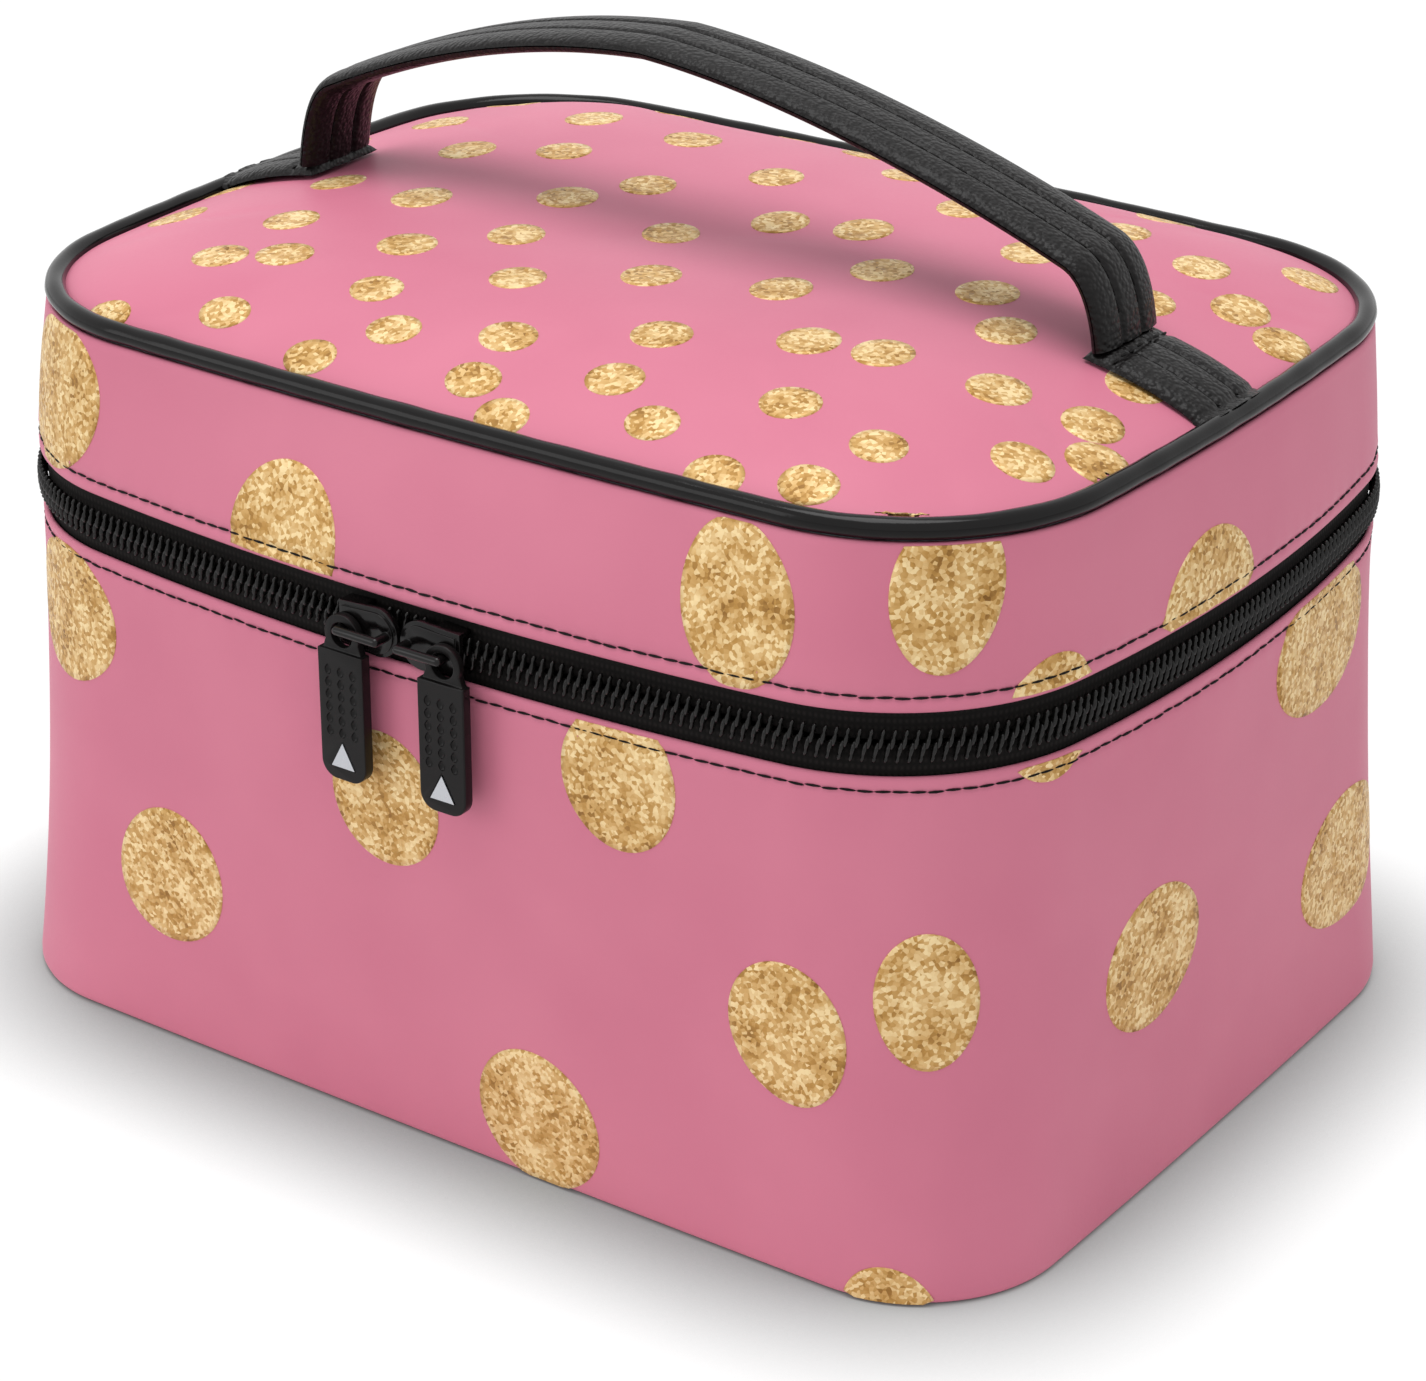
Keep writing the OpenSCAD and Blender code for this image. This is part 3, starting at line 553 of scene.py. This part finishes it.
for name, node, slot_name, surface, section in (
        ("hinge_strip", "hinge_panel", "black_pu", pebble,
         hinge_place(0.45, 1.4, HINGE_LOW, HINGE_HIGH)),
        ("hinge_lining_strip", "hinge_lining", "lining_cloth", lining,
         hinge_place(-7.2, -6.65, 98.0, 120.2))):

    def strip_point(i, j):
        off, z = section[j % len(section)]
        u = -HINGE_HALF + 2 * HINGE_HALF * i / 72
        return wall_point(u, z, off)

    strip = wrap(name, 72, len(section), strip_point, 50)
    strip.data.materials.append(surface)
    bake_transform(strip)
    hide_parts(node)

for name, body, z in (("hinge_stitches_base", "base", 98.0),
                      ("hinge_stitches_lid", "lid", 120.2)):

    def at_hinge_stitch(k):
        u = -HINGE_HALF + 2.5 + STITCH_STEP * k
        return lambda p: wall_point(u + p.x, z + p.z, 1.45 - p.y)

    row_piece = copies(name, stitch(), [at_hinge_stitch(k) for k in range(36)])
    row_piece.data.materials.append(thread)
    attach(row_piece, body)

# ---- Inside linings ----------------------------------------------------------------------
# The lining goes up the inside of each wall and over its edge to the back of the tape, so
# no foam or board shows when the case is open. It is drawn a little loose.


def loose(u, z):
    turn = 2 * math.pi * u / ROUND
    return 0.18 * math.sin(17 * turn + z / 13) + 0.12 * math.sin(41 * turn - z / 9)


base_lining_section = [(-5.85, 3.8), (-5.85, 101.6), (-5.6, 102.15), (-2.6, 102.15),
                       (-2.25, 101.0), (-2.1, 101.0), (-2.15, 102.6), (-3.0, 103.2),
                       (-4.6, 103.3), (-5.8, 102.9), (-6.35, 101.9), (-6.45, 99), (-6.5, 90),
                       (-6.5, 78), (-6.5, 65), (-6.5, 50), (-6.5, 35), (-6.5, 20), (-6.5, 9),
                       (-6.5, 3.8)]
lid_lining_section = [(-5.85, 142.2), (-5.85, 116.6), (-5.6, 116.05), (-2.6, 116.05),
                      (-2.25, 117.2), (-2.1, 117.2), (-2.15, 115.6), (-3.0, 115.0),
                      (-4.6, 114.9), (-5.8, 115.3), (-6.35, 116.3), (-6.45, 119),
                      (-6.5, 123), (-6.5, 128), (-6.5, 133), (-6.5, 138), (-6.5, 142.2)]
for name, node, body, section in (
        ("base_lining_wall", "base_wall_lining", "base", base_lining_section),
        ("lid_lining_wall", "lid_wall_lining", "lid", lid_lining_section)):

    def lining_point(i, j):
        off, z = section[j % len(section)]
        u = ROUND * i / LINING_STEPS
        if 11 < j % len(section) < len(section) - 1:
            off += loose(u, z) - 0.3
        return wall_point(u, z, off)

    inner = wrap(name, LINING_STEPS, len(section), lining_point, 60)
    inner.data.materials.append(lining)
    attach(inner, body)
    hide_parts(node)

# ---- Core pieces that stay as built ------------------------------------------------------
# Foam, board and the flat linings lie inside the walls; each gets its own plain material.
# Polyethylene foam: closed cells of about 1.5 mm, dull. Grey board: pressed pulp with
# fine flecks.
for shade_low, shade_high, grit, name, nodes in (
        ("#86888D", "#94969B", 0.0015, "closed_cell_foam",
         ("base_wall_foam", "lid_wall_foam", "lid_top_foam")),
        ("#57595D", "#64666A", 0.0025, "grey_stiffening_board",
         ("base_wall_board", "base_bottom_board", "lid_wall_board", "lid_top_board"))):
    core, tree, shader = finish_named(name, shade_low, Roughness=0.85)
    spot = add(tree, "TexCoord").outputs["Object"]
    cells = noise(tree, spot, grit, 3.0)
    tint = add(tree, "ValToRGB", links={"Fac": cells},
               shades=[(0.35, shade_low), (0.65, shade_high)])
    relief = bump(tree, 0.3, 0.0002, cells)
    plug(tree, shader, Base_Color=tint.outputs["Color"], Normal=relief)
    for node in nodes:
        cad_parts[node].data.materials.clear()
        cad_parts[node].data.materials.append(core)
core_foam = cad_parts["base_wall_foam"].data.materials[0]
for node in ("base_floor_lining", "lid_top_lining"):
    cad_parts[node].data.materials.clear()
    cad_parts[node].data.materials.append(lining)

# ---- Carry handle ------------------------------------------------------------------------
# Two layers of pebbled polyurethane over soft padding, sewn through along two grooves
# that leave three lanes. The strap rises from a fold on each anchor, turns over a
# shoulder and arches across the lid, a little lower on its right half.
STRAP_HALF, STRAP_THICK, SEWN_ROW, SHOULDER = 10.5, 2.1, 3.4, 85
STRAP_STEPS, PAD_STEPS, PAD_INSET = 190, 150, 24


def strap_height(x):
    droop = 4.2 * math.sin(math.pi * min(1.0, (x + 8) / 124)) if x > -8 else 0.0
    return 195 - 20 * (x / SHOULDER) ** 2 - droop


def leg(side):
    top = (side * SHOULDER, strap_height(side * SHOULDER))
    corner = (side * 91.2, top[1] - 2.2)
    foot = (side * 93, 156.6)
    return [tuple((1 - t) ** 2 * a + 2 * t * (1 - t) * b + t * t * c
                  for a, b, c in zip(top, corner, foot)) for t in [k / 30 for k in range(31)]]


rough_line = (list(reversed(leg(-1)))
              + [(x, strap_height(x)) for x in range(1 - SHOULDER, SHOULDER)] + leg(1))
run = [0.0]
for a, b in zip(rough_line, rough_line[1:]):
    run.append(run[-1] + math.dist(a, b))


def strap_place(s):
    # the strap's middle line and its outward direction at s mm from its left foot
    s = min(max(s, 0.0), run[-1])
    k = next((k for k in range(1, len(run)) if run[k] >= s), len(run) - 1)
    low, high = rough_line[max(0, k - 3)], rough_line[min(len(run) - 1, k + 2)]
    share = (s - run[k - 1]) / max(1e-6, run[k] - run[k - 1])
    a, b = rough_line[k - 1], rough_line[k]
    length = math.dist(low, high)
    return ((a[0] + (b[0] - a[0]) * share, a[1] + (b[1] - a[1]) * share),
            (-(high[1] - low[1]) / length, (high[0] - low[0]) / length))


def lanes(v, thick):
    # the height of one layer's face across the strap: rolled edges, two sewn grooves
    edge = (1 - min(1.0, abs(v) / STRAP_HALF) ** 4) ** 0.5
    puff = 0.1 * math.cos(math.pi * v / 3.4) ** 2 if abs(v) < 1.7 else 0.0
    groove = 0.6 * math.exp(-((abs(v) - SEWN_ROW) / 0.6) ** 2)
    return 0.12 + (thick - 0.12) * edge - groove * edge + puff


across_strap = [0, 1.2, 2.0, 2.5, 2.8, 3.1, 3.4, 3.7, 4.0, 4.3, 4.8, 5.6, 6.8, 8.0, 9.0, 9.7,
                10.15, 10.42, 10.5]
across_strap = [-v for v in reversed(across_strap[1:])] + across_strap
for name, nodes, side in (
        ("handle_face", ("handle_strap", "handle_leg_left", "handle_leg_right"), 1),
        ("handle_lining", ("handle_underlay",), -1)):

    def strap_point(i, j):
        (x, z), (nx, nz) = strap_place(run[-1] * i / STRAP_STEPS)
        k = j % (len(across_strap) + 3)
        if k < len(across_strap):
            v = across_strap[k]
            n = side * lanes(v, STRAP_THICK)
        else:
            v = (8.5, 0.0, -8.5)[k - len(across_strap)]
            n = side * 0.1
        return x + n * nx, v, z + n * nz

    layer = wrap(name, STRAP_STEPS, len(across_strap) + 3, strap_point, 60)
    layer.data.materials.append(pebble)
    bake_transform(layer)
    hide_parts(*nodes)

# The padding between the layers is a strip of the same foam, narrower than the strap.


def padding_point(i, j):
    (x, z), (nx, nz) = strap_place(PAD_INSET
                                   + (run[-1] - 2 * PAD_INSET) * i / PAD_STEPS)
    v, n = [(-8, 0.07), (0, 0.08), (8, 0.07), (8, -0.07), (0, -0.08), (-8, -0.07)][j % 6]
    return x + n * nx, v, z + n * nz


padding = wrap("handle_padding_strip", PAD_STEPS, 6, padding_point, 60)
padding.data.materials.append(core_foam)
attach(padding, "handle")
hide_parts("handle_padding")

strap_count = int(run[-1] / STITCH_STEP) - 2
for name, side in (("handle_stitches", 1), ("handle_stitches_under", -1)):

    def on_strap(k, v):
        s = 4.5 + STITCH_STEP * k
        wobble, n0 = sewing.uniform(-0.12, 0.12), side * (lanes(v, STRAP_THICK) + 0.12)

        def place(p):
            (x, z), (nx, nz) = strap_place(s + p.x)
            return x + (n0 + side * p.y) * nx, v + wobble + p.z, z + (n0 + side * p.y) * nz
        return place

    row_piece = copies(name, stitch(2.7, 0.6),
                       [on_strap(k, v) for v in (-SEWN_ROW, SEWN_ROW)
                        for k in range(strap_count)])
    row_piece.data.materials.append(thread)
    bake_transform(row_piece)

# ---- Handle anchors ----------------------------------------------------------------------
# From each foot the doubled strap lies along the padded lid and runs in under the
# piping. It is sewn down the same two grooves, and across next to the leg's foot.


ANCHOR_START, ANCHOR_LENGTH, ANCHOR_STEPS, CROSS_ROW = 90.3, 25.4, 56, 6.0
DIVE = 113  # where the anchor begins to dive in under the piping


def anchor_line(s):
    # a place on the lid s mm out from the anchor's inner end, and the slope there
    x = ANCHOR_START + s
    t = x / PANEL_HALF
    z = dome_height(t) + 0.25
    if x > DIVE:
        z = max(147.6, dome_height(DIVE / PANEL_HALF) + 0.25 - (x - DIVE) * 1.5)
    slope = -60 * t ** 5 / PANEL_HALF if x < DIVE else -1.0
    return x, z, slope


for side, name, node in ((-1, "anchor_left", "handle_anchor_left"),
                         (1, "anchor_right", "handle_anchor_right")):

    def anchor_face(s, v):
        dip = 0.45 * math.exp(-((s - CROSS_ROW) / 0.8) ** 2)
        end = min(1.0, (s / 1.2)) ** 0.5 if s < 1.2 else 1.0
        return max(0.15, lanes(v, 2.3) * end - dip)

    def anchor_point(i, j):
        s = ANCHOR_LENGTH * (i / ANCHOR_STEPS)
        x, z, slope = anchor_line(s)
        size = math.hypot(1, slope)
        k = j % (len(across_strap) + 3)
        if k < len(across_strap):
            v = across_strap[k]
            n = anchor_face(s, v)
        else:
            v, n = (8.5, 0.0, -8.5)[k - len(across_strap)], 0.0
        return side * (x - n * slope / size), v, z + n / size

    anchor = wrap(name, ANCHOR_STEPS, len(across_strap) + 3, anchor_point, 60)
    anchor.data.materials.append(pebble)
    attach(anchor, "lid")
    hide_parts(node)

    def on_anchor(s0, v0, across):
        def place(p):
            s, v = (s0, v0 + p.x) if across else (s0 + p.x, v0)
            x, z, slope = anchor_line(s + (p.z if across else 0))
            n = anchor_face(s0, v0) + 0.1 + p.y
            return side * x, v + (0 if across else p.z), z + n
        return place

    spots = [on_anchor(8.5 + STITCH_STEP * k, v, False)
             for v in (-SEWN_ROW, SEWN_ROW) for k in range(6)]
    spots += [on_anchor(CROSS_ROW, -8.4 + 2.8 * k, True) for k in range(7)]
    row_piece = copies(name + "_stitches", stitch(2.6, 0.6), spots)
    row_piece.data.materials.append(thread)
    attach(row_piece, "lid")

# ---- Zip sliders -------------------------------------------------------------------------
# Two die-cast sliders, nose to nose, enamelled black: a shield-shaped body with a raised
# crest and a thick rounded bridge that holds the pull.


def softened(node, name, width, segments=3):
    # a copy of a built piece, its loose triangles merged and its edges rounded
    piece = bpy.data.objects.new(name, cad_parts[node].data.copy())
    bpy.context.scene.collection.objects.link(piece)
    alone(piece)
    bpy.ops.object.mode_set(mode="EDIT")
    bpy.ops.mesh.select_all(action="SELECT")
    bpy.ops.mesh.remove_doubles(threshold=1e-6)
    bpy.ops.mesh.dissolve_limited(angle_limit=math.radians(1))
    bpy.ops.object.mode_set(mode="OBJECT")
    bevel = piece.modifiers.new("round", "BEVEL")
    bevel.width, bevel.segments = width, segments
    bevel.limit_method, bevel.angle_limit = "ANGLE", math.radians(40)
    bpy.ops.object.modifier_apply(modifier="round")
    bpy.ops.object.shade_smooth_by_angle(angle=math.radians(40))
    piece.data.materials.clear()
    return piece


# Black enamel over zinc: baked and glossy, with a slight orange-peel of 1.5 mm.
enamel, tree, shader = finish_named("black_enamelled_zinc", "#0C0A0A", Roughness=0.16,
                                    Specular_IOR_Level=0.25, Coat_Weight=0.08,
                                    Coat_Roughness=0.08)
spot = add(tree, "TexCoord").outputs["Object"]
peel = noise(tree, spot, 0.0015, 1.0)
relief = bump(tree, 0.12, 0.0001, peel)
plug(tree, shader, Normal=relief)
for side in ("left", "right"):
    slider = softened("slider_" + side, "slider_body_" + side, 0.00022)
    slider.data.materials.append(enamel)
    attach(slider, "slider_" + side + "_body")
    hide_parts("slider_" + side)

# ---- Zip pulls ---------------------------------------------------------------------------
# Moulded rubber tabs on a ring that hangs from the bridge. Each has three columns of
# small drop-shaped dimples for grip, and a recess near its end with a silver inlay.
# Moulded PVC rubber: satin black-grey, faint flow mottle.
rubber, tree, shader = finish_named("moulded_black_rubber", "#121010", Roughness=0.32,
                                    Specular_IOR_Level=0.2)
spot = add(tree, "TexCoord").outputs["Object"]
mottle = noise(tree, spot, 0.0008, 2.0)
shine = span(tree, 0.22, 0.42, mottle)
plug(tree, shader, Roughness=shine)
# Silver foil inlay: hot-stamped, bright and lightly brushed by its die.
inlay_foil, tree, shader = finish_named("stamped_silver_foil", "#C4C7CC", Roughness=0.28,
                                        Metallic=1.0)
spot = add(tree, "TexCoord").outputs["Object"]
brushed = noise(tree, spot, 0.0009, 2.0)
shine = span(tree, 0.2, 0.4, brushed)
plug(tree, shader, Roughness=shine)

LONG_R, LONG_C = ZIP_LINE[4][1], ZIP_LINE[4][0][1]
SLIDER_OFF = 7.05  # from where the sliders meet to the middle of each


def on_front(dist, dx, off, z):
    # a point on the front wall, dist mm along it from the middle, then dx straight on
    a = dist / LONG_R
    return (dx * math.cos(a) + (LONG_R + off) * math.sin(a),
            LONG_C + dx * math.sin(a) - (LONG_R + off) * math.cos(a), z)


for side, dist, dx in (("left", MEET - SLIDER_OFF, -4.45),
                       ("right", MEET + SLIDER_OFF, 4.45)):
    pull = softened("pull_" + side, "pull_tab_" + side, 0.0004, 4)
    dimples = []
    for column in (-2.9, 0, 2.9):
        for row in range(6):
            bpy.ops.mesh.primitive_uv_sphere_add(segments=16, ring_count=8, radius=1)
            drop = bpy.context.object
            for v in drop.data.vertices:
                # a drop: pointed above, round below
                taper = 1 - 0.45 * max(0.0, v.co.z)
                x, y, z = v.co.x * 0.8 * taper, v.co.y * 0.5, v.co.z * 1.05
                spot = on_front(dist, dx + column + x, 5.4 - y,
                                ZIP_Z - 8.6 - 2.45 * row + z)
                v.co = [c / 1000 for c in spot]
            dimples.append(drop)
    bpy.ops.object.select_all(action="DESELECT")
    for drop in dimples:
        drop.select_set(True)
    bpy.context.view_layer.objects.active = dimples[0]
    bpy.ops.object.join()
    cutter = bpy.context.object
    alone(pull)
    cut = pull.modifiers.new("dimples", "BOOLEAN")
    cut.operation, cut.object, cut.solver = "DIFFERENCE", cutter, "EXACT"
    bpy.ops.object.modifier_apply(modifier="dimples")
    bpy.data.objects.remove(cutter)
    bpy.ops.object.shade_smooth_by_angle(angle=math.radians(24))
    pull.data.materials.append(rubber)
    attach(pull, "pull_" + side + "_body")
    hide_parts("pull_" + side)
    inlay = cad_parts["pull_inlay_" + side]
    inlay.data.materials.clear()
    inlay.data.materials.append(inlay_foil)

# ---- Gold foil dots ----------------------------------------------------------------------
# Round dots of glitter foil, heat-pressed onto the pink cloth before it was cut and sewn,
# so the seams and the zip cut through some: large ones on the walls, confetti on the lid.
# Glitter foil: flakes of about 0.8 mm, each tipped its own way, in clouds of about 7 mm.
# The colour runs from bronze to pale gold. Part of that is the foil's own tone and part is a
# painted glint: flakes and clouds that would catch the light are painted paler.
foil, tree, shader = finish_named("gold_glitter_foil", "#C79F5F", Roughness=0.42,
                                  Metallic=0.12, Specular_IOR_Level=0.15)
spot = add(tree, "TexCoord").outputs["Object"]
flakes = add(tree, "TexVoronoi", {"Scale": 1 / 0.0008}, {"Vector": spot})
fleck = add(tree, "SeparateColor", links={0: flakes.outputs["Color"]})
tone_and_glint_clouds = noise(tree, spot, 0.007, 3.0)
flake_tone_and_glint = add(tree, "Math", {1: 0.55}, {0: fleck.outputs[0]}, operation="MULTIPLY")
cloud_tone_and_glint = add(tree, "Math", {1: 0.9}, {0: tone_and_glint_clouds}, operation="MULTIPLY")
foil_tone_and_glint = add(tree, "Math", links={0: flake_tone_and_glint.outputs[0], 1: cloud_tone_and_glint.outputs[0]},
            operation="ADD")
# painted glint: the ramp's pale cream end stands in for flakes catching the light
tint = add(tree, "ValToRGB", links={"Fac": foil_tone_and_glint.outputs[0]},
           shades=[(0.25, "#8A602C"), (1.0, "#FFE3AC"), (0.5, "#C1924E"), (0.72, "#DEB474")])
shine = span(tree, 0.25, 0.55, fleck.outputs[1])
relief = bump(tree, 0.6, 0.00012, fleck.outputs[2])
plug(tree, shader, Base_Color=tint.outputs["Color"], Roughness=shine, Normal=relief)


def foil_disc(rings, around):
    # a disc of radius 1 built out ring by ring; its rim turns down at the last one
    bpy.ops.mesh.primitive_circle_add(vertices=around, radius=1 / rings,
                                      fill_type="TRIFAN")
    disc = bpy.context.object
    bpy.ops.object.mode_set(mode="EDIT")
    for k in range(2, rings + 2):
        bpy.ops.mesh.select_all(action="DESELECT")
        bpy.ops.mesh.select_non_manifold()
        bpy.ops.mesh.extrude_region_move()
        grow = k / (k - 1) if k <= rings else 1.004
        bpy.ops.transform.resize(value=(grow, grow, 1))
        if k > rings:
            bpy.ops.transform.translate(value=(0, 0, -1))
    bpy.ops.object.mode_set(mode="OBJECT")
    return disc


def wall_dot(u, z, half_w, half_h, low, high, face_of):
    # lays a disc on the wall as an oval, cut off where the cloth ends
    start = min(max(z, low + 1.5), high - 1.5)

    def place(p):
        a, share = math.atan2(p.y, p.x), min(1.0, math.hypot(p.x, p.y))
        across, rise = half_w * math.cos(a), z + half_h * math.sin(a) - start
        if start + rise > high:
            share *= (high - start) / rise
        if start + rise < low:
            share *= (low - start) / rise
        uu, zz = u + across * share, start + rise * share
        return wall_point(uu, zz, face_of(uu, zz) + (0.13 if p.z > -0.5 else -0.15))
    return place


# each: mm from the front's middle, height of its middle, half its width and height
base_dots = [(24.2, 14.4, 12.6, 14.6), (79, 50.8, 11.6, 14), (47.6, 92.3, 11.9, 14),
             (105.9, 59.8, 9.9, 13.3), (-59.5, 38.6, 13.2, 14.8), (163, 50.6, 15, 14),
             (-5, 73.9, 12.5, 13.9), (239, 37.5, 20, 14.2), (224, 91.5, 21, 14.6),
             (-91, 87, 16.5, 14.3), (130, 110.2, 10.5, 12), (94.5, -4.8, 11.5, 12.5)]
lid_dots = [(-28, 120, 13.2, 14.6), (71.3, 130.6, 11.3, 14.8), (107.8, 136, 9.6, 14),
            (175, 117.5, 15.5, 13.5), (-95, 131, 15.5, 14.6), (130, 110.2, 10.5, 12)]
scatter = random.Random(11)


def fill_hidden(dots, low, high, gap, radius):
    # more dots for the back and the far end, spread as the others are
    for _ in range(900):
        u, z = scatter.uniform(268, 2 * FRONT - 135), scatter.uniform(low, high)
        spread = [math.hypot((u - d[0] + FRONT) % ROUND - FRONT, z - d[1]) for d in dots]
        if min(spread) > gap:
            dots.append((u, z, radius + scatter.uniform(-0.4, 0.4), radius))


fill_hidden(base_dots, 4, 98, 43, 12.8)
fill_hidden(lid_dots, 118, 142, 46, 12.6)
for name, body, dots, low, high, face_of in (
        ("foil_dots_base", "base", base_dots, 0.6, 102.2, base_face),
        ("foil_dots_lid_wall", "lid", lid_dots, 116.0, 144.6, lid_face)):
    printed = copies(name, foil_disc(9, 48),
                     [wall_dot(FRONT + u, z, w, h, low, high, face_of)
                      for u, z, w, h in dots])
    printed.data.materials.append(foil)
    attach(printed, body)

cushion_skin = BVHTree.FromObject(cushion, bpy.context.evaluated_depsgraph_get())
top_dots = [(-97, 65), (-95, 37), (-64, 50), (-37, 48), (-71, 16), (-53, 25), (-8, 36),
            (-82, -12), (-26, 17), (-113, -11), (-58, -15), (-34, 1), (10, 58), (33, 42),
            (-73, -37), (-29, -22), (-6, -3), (8, 14), (24, 19), (-73, -58), (-61, -53),
            (-43, -38), (63, 51), (84, 45), (-35, -57), (-14, -41), (6, -26), (30, -18),
            (40, 1), (62, 3), (57, 27), (98, 35), (98, 63), (-82, -81), (-58, -74),
            (-22, -68), (0, -62), (25, -49), (49, -37), (63, -34), (74, -10), (85, 22),
            (109, 31), (-33, -79), (2, -75), (27, -66), (60, -59), (86, -32), (101, -9),
            (13, -81), (41, -74), (81, -63), (103, -28), (102, -50), (110, -38), (59, -81),
            (76, -77), (98, -80), (-60, 76), (-30, 79), (-8, 70), (28, 76), (60, 74),
            (-108, 20), (-104, -36)]


def panel_gap(x, y):
    # how far a place lies outside the sewn edge of the padded panel, below 0 inside it
    dx, dy = abs(x) - (PANEL_HALF - PANEL_CORNER), abs(y) - (PANEL_DEEP - PANEL_CORNER)
    return math.hypot(max(dx, 0), max(dy, 0)) + min(max(dx, dy), 0.0) - PANEL_CORNER


def top_dot(cx, cy, r):
    # the cloth is drawn tighter to front and back, so the dots are a little longer there
    long_r = r * (1.14 - 0.36 * min(1.0, max(0.0, (-cy - 28) / 46)))

    def place(p):
        x, y = cx + r * p.x, cy + long_r * p.y
        while panel_gap(x, y) > -0.2:
            x, y = x * 0.996, y * 0.996
        hit, normal, _, _ = cushion_skin.ray_cast(Vector((x / 1000, y / 1000, 0.3)),
                                                  Vector((0, 0, -1)))
        if hit is None:
            hit, normal, _, _ = cushion_skin.find_nearest(Vector((x / 1000, y / 1000,
                                                                  0.155)))
        lift = 0.1 if p.z > -0.5 else -0.15
        return [1000 * h + lift * n for h, n in zip(hit, normal)]
    return place


printed = copies("foil_dots_top", foil_disc(4, 24),
                 [top_dot(x, y, 5.6 + 0.25 * math.sin(7 * k))
                  for k, (x, y) in enumerate(top_dots)])
printed.data.materials.append(foil)
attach(printed, "lid")

# ---- Table, light and camera -------------------------------------------------------------
# A white table that fades into a white backdrop, one broad soft lamp overhead, a weaker one
# in front and to the left, and a long lens looking down on the case's front right corner.
# To the camera the table mostly glows white, with a painted shadow: the glow dims with the
# ambient occlusion close to what stands on it. Other rays see it as white laminate lit by the
# lamps.
bpy.ops.mesh.primitive_plane_add(size=8, location=(0, 0, 0))
table = bpy.context.object
table.name = "white_table"
white, tree, shader = finish_named("white_laminate", "#F4F4F4", Roughness=0.7)
ray = add(tree, "LightPath")
# painted shadow: the glow the camera sees is dimmed by ambient occlusion near the case, not
# by the lamps
painted_shadow_occlusion = add(tree, "AmbientOcclusion", {"Distance": 0.036})
depth = add(tree, "Math", {1: 1.9}, {0: painted_shadow_occlusion.outputs["AO"]}, operation="POWER")
painted_shadow_glow = add(tree, "Emission", {"Color": (1, 1, 1, 1)}, {"Strength": depth.outputs[0]})
glow_and_painted_shadow = add(tree, "MixShader", {0: 0.88}, {1: shader.outputs[0], 2: painted_shadow_glow.outputs[0]})
lift = add(tree, "Emission", {"Color": (1, 1, 1, 1), "Strength": 0.05})
glow_and_painted_shadow = add(tree, "AddShader", links={0: glow_and_painted_shadow.outputs[0], 1: lift.outputs[0]})
pick = add(tree, "MixShader", links={0: ray.outputs["Is Camera Ray"],
                                     1: shader.outputs[0], 2: glow_and_painted_shadow.outputs[0]})
tree.links.new(pick.outputs[0], tree.nodes["Material Output"].inputs["Surface"])
table.data.materials.append(white)

world = bpy.data.worlds.new("studio")
bpy.context.scene.world = world
world.use_nodes = True
tree = world.node_tree
ambient = tree.nodes["Background"]
ambient.inputs["Color"].default_value = (1, 1, 1, 1)
ambient.inputs["Strength"].default_value = 0.58
backdrop = add(tree, "Background", {"Color": (1, 1, 1, 1), "Strength": 1.0})
ray = add(tree, "LightPath")
seen = add(tree, "Math", links={0: ray.outputs["Is Camera Ray"],
                                1: ray.outputs["Is Glossy Ray"]}, operation="MAXIMUM")
seen = add(tree, "Math", links={0: seen.outputs[0], 1: ray.outputs["Is Transmission Ray"]},
           operation="MAXIMUM")
pick = add(tree, "MixShader", links={0: seen.outputs[0], 1: ambient.outputs[0],
                                     2: backdrop.outputs[0]})
tree.links.new(pick.outputs[0], tree.nodes["World Output"].inputs["Surface"])

for name, place, size, power in (("overhead_lamp", (-0.05, -0.12, 1.3), 0.8, 8.3),
                                 ("front_lamp", (-1.0, -1.5, 0.7), 1.0, 4.5)):
    bpy.ops.object.light_add(type="AREA", location=place)
    lamp = bpy.context.object
    lamp.name = name
    lamp.data.size, lamp.data.energy = size, power
    lamp.rotation_euler = (Vector((0, 0, 0.08)) - Vector(place)).to_track_quat(
        "-Z", "Y").to_euler()

bpy.ops.object.camera_add(location=(0.4327, -0.6123, 0.4163),
                          rotation=(math.radians(90 - 24.7), 0, math.radians(35.3)))
camera = bpy.context.object
# the sensor in mm; the lens and the picture's width in its pixels
SENSOR, FOCAL, PICTURE = 36, 4092, 1426
camera.data.sensor_width = SENSOR
camera.data.lens = SENSOR * FOCAL / PICTURE
camera.data.shift_x, camera.data.shift_y = 11.3 / PICTURE, -50 / PICTURE
bpy.context.scene.camera = camera
bpy.context.scene.view_settings.view_transform = "Standard"
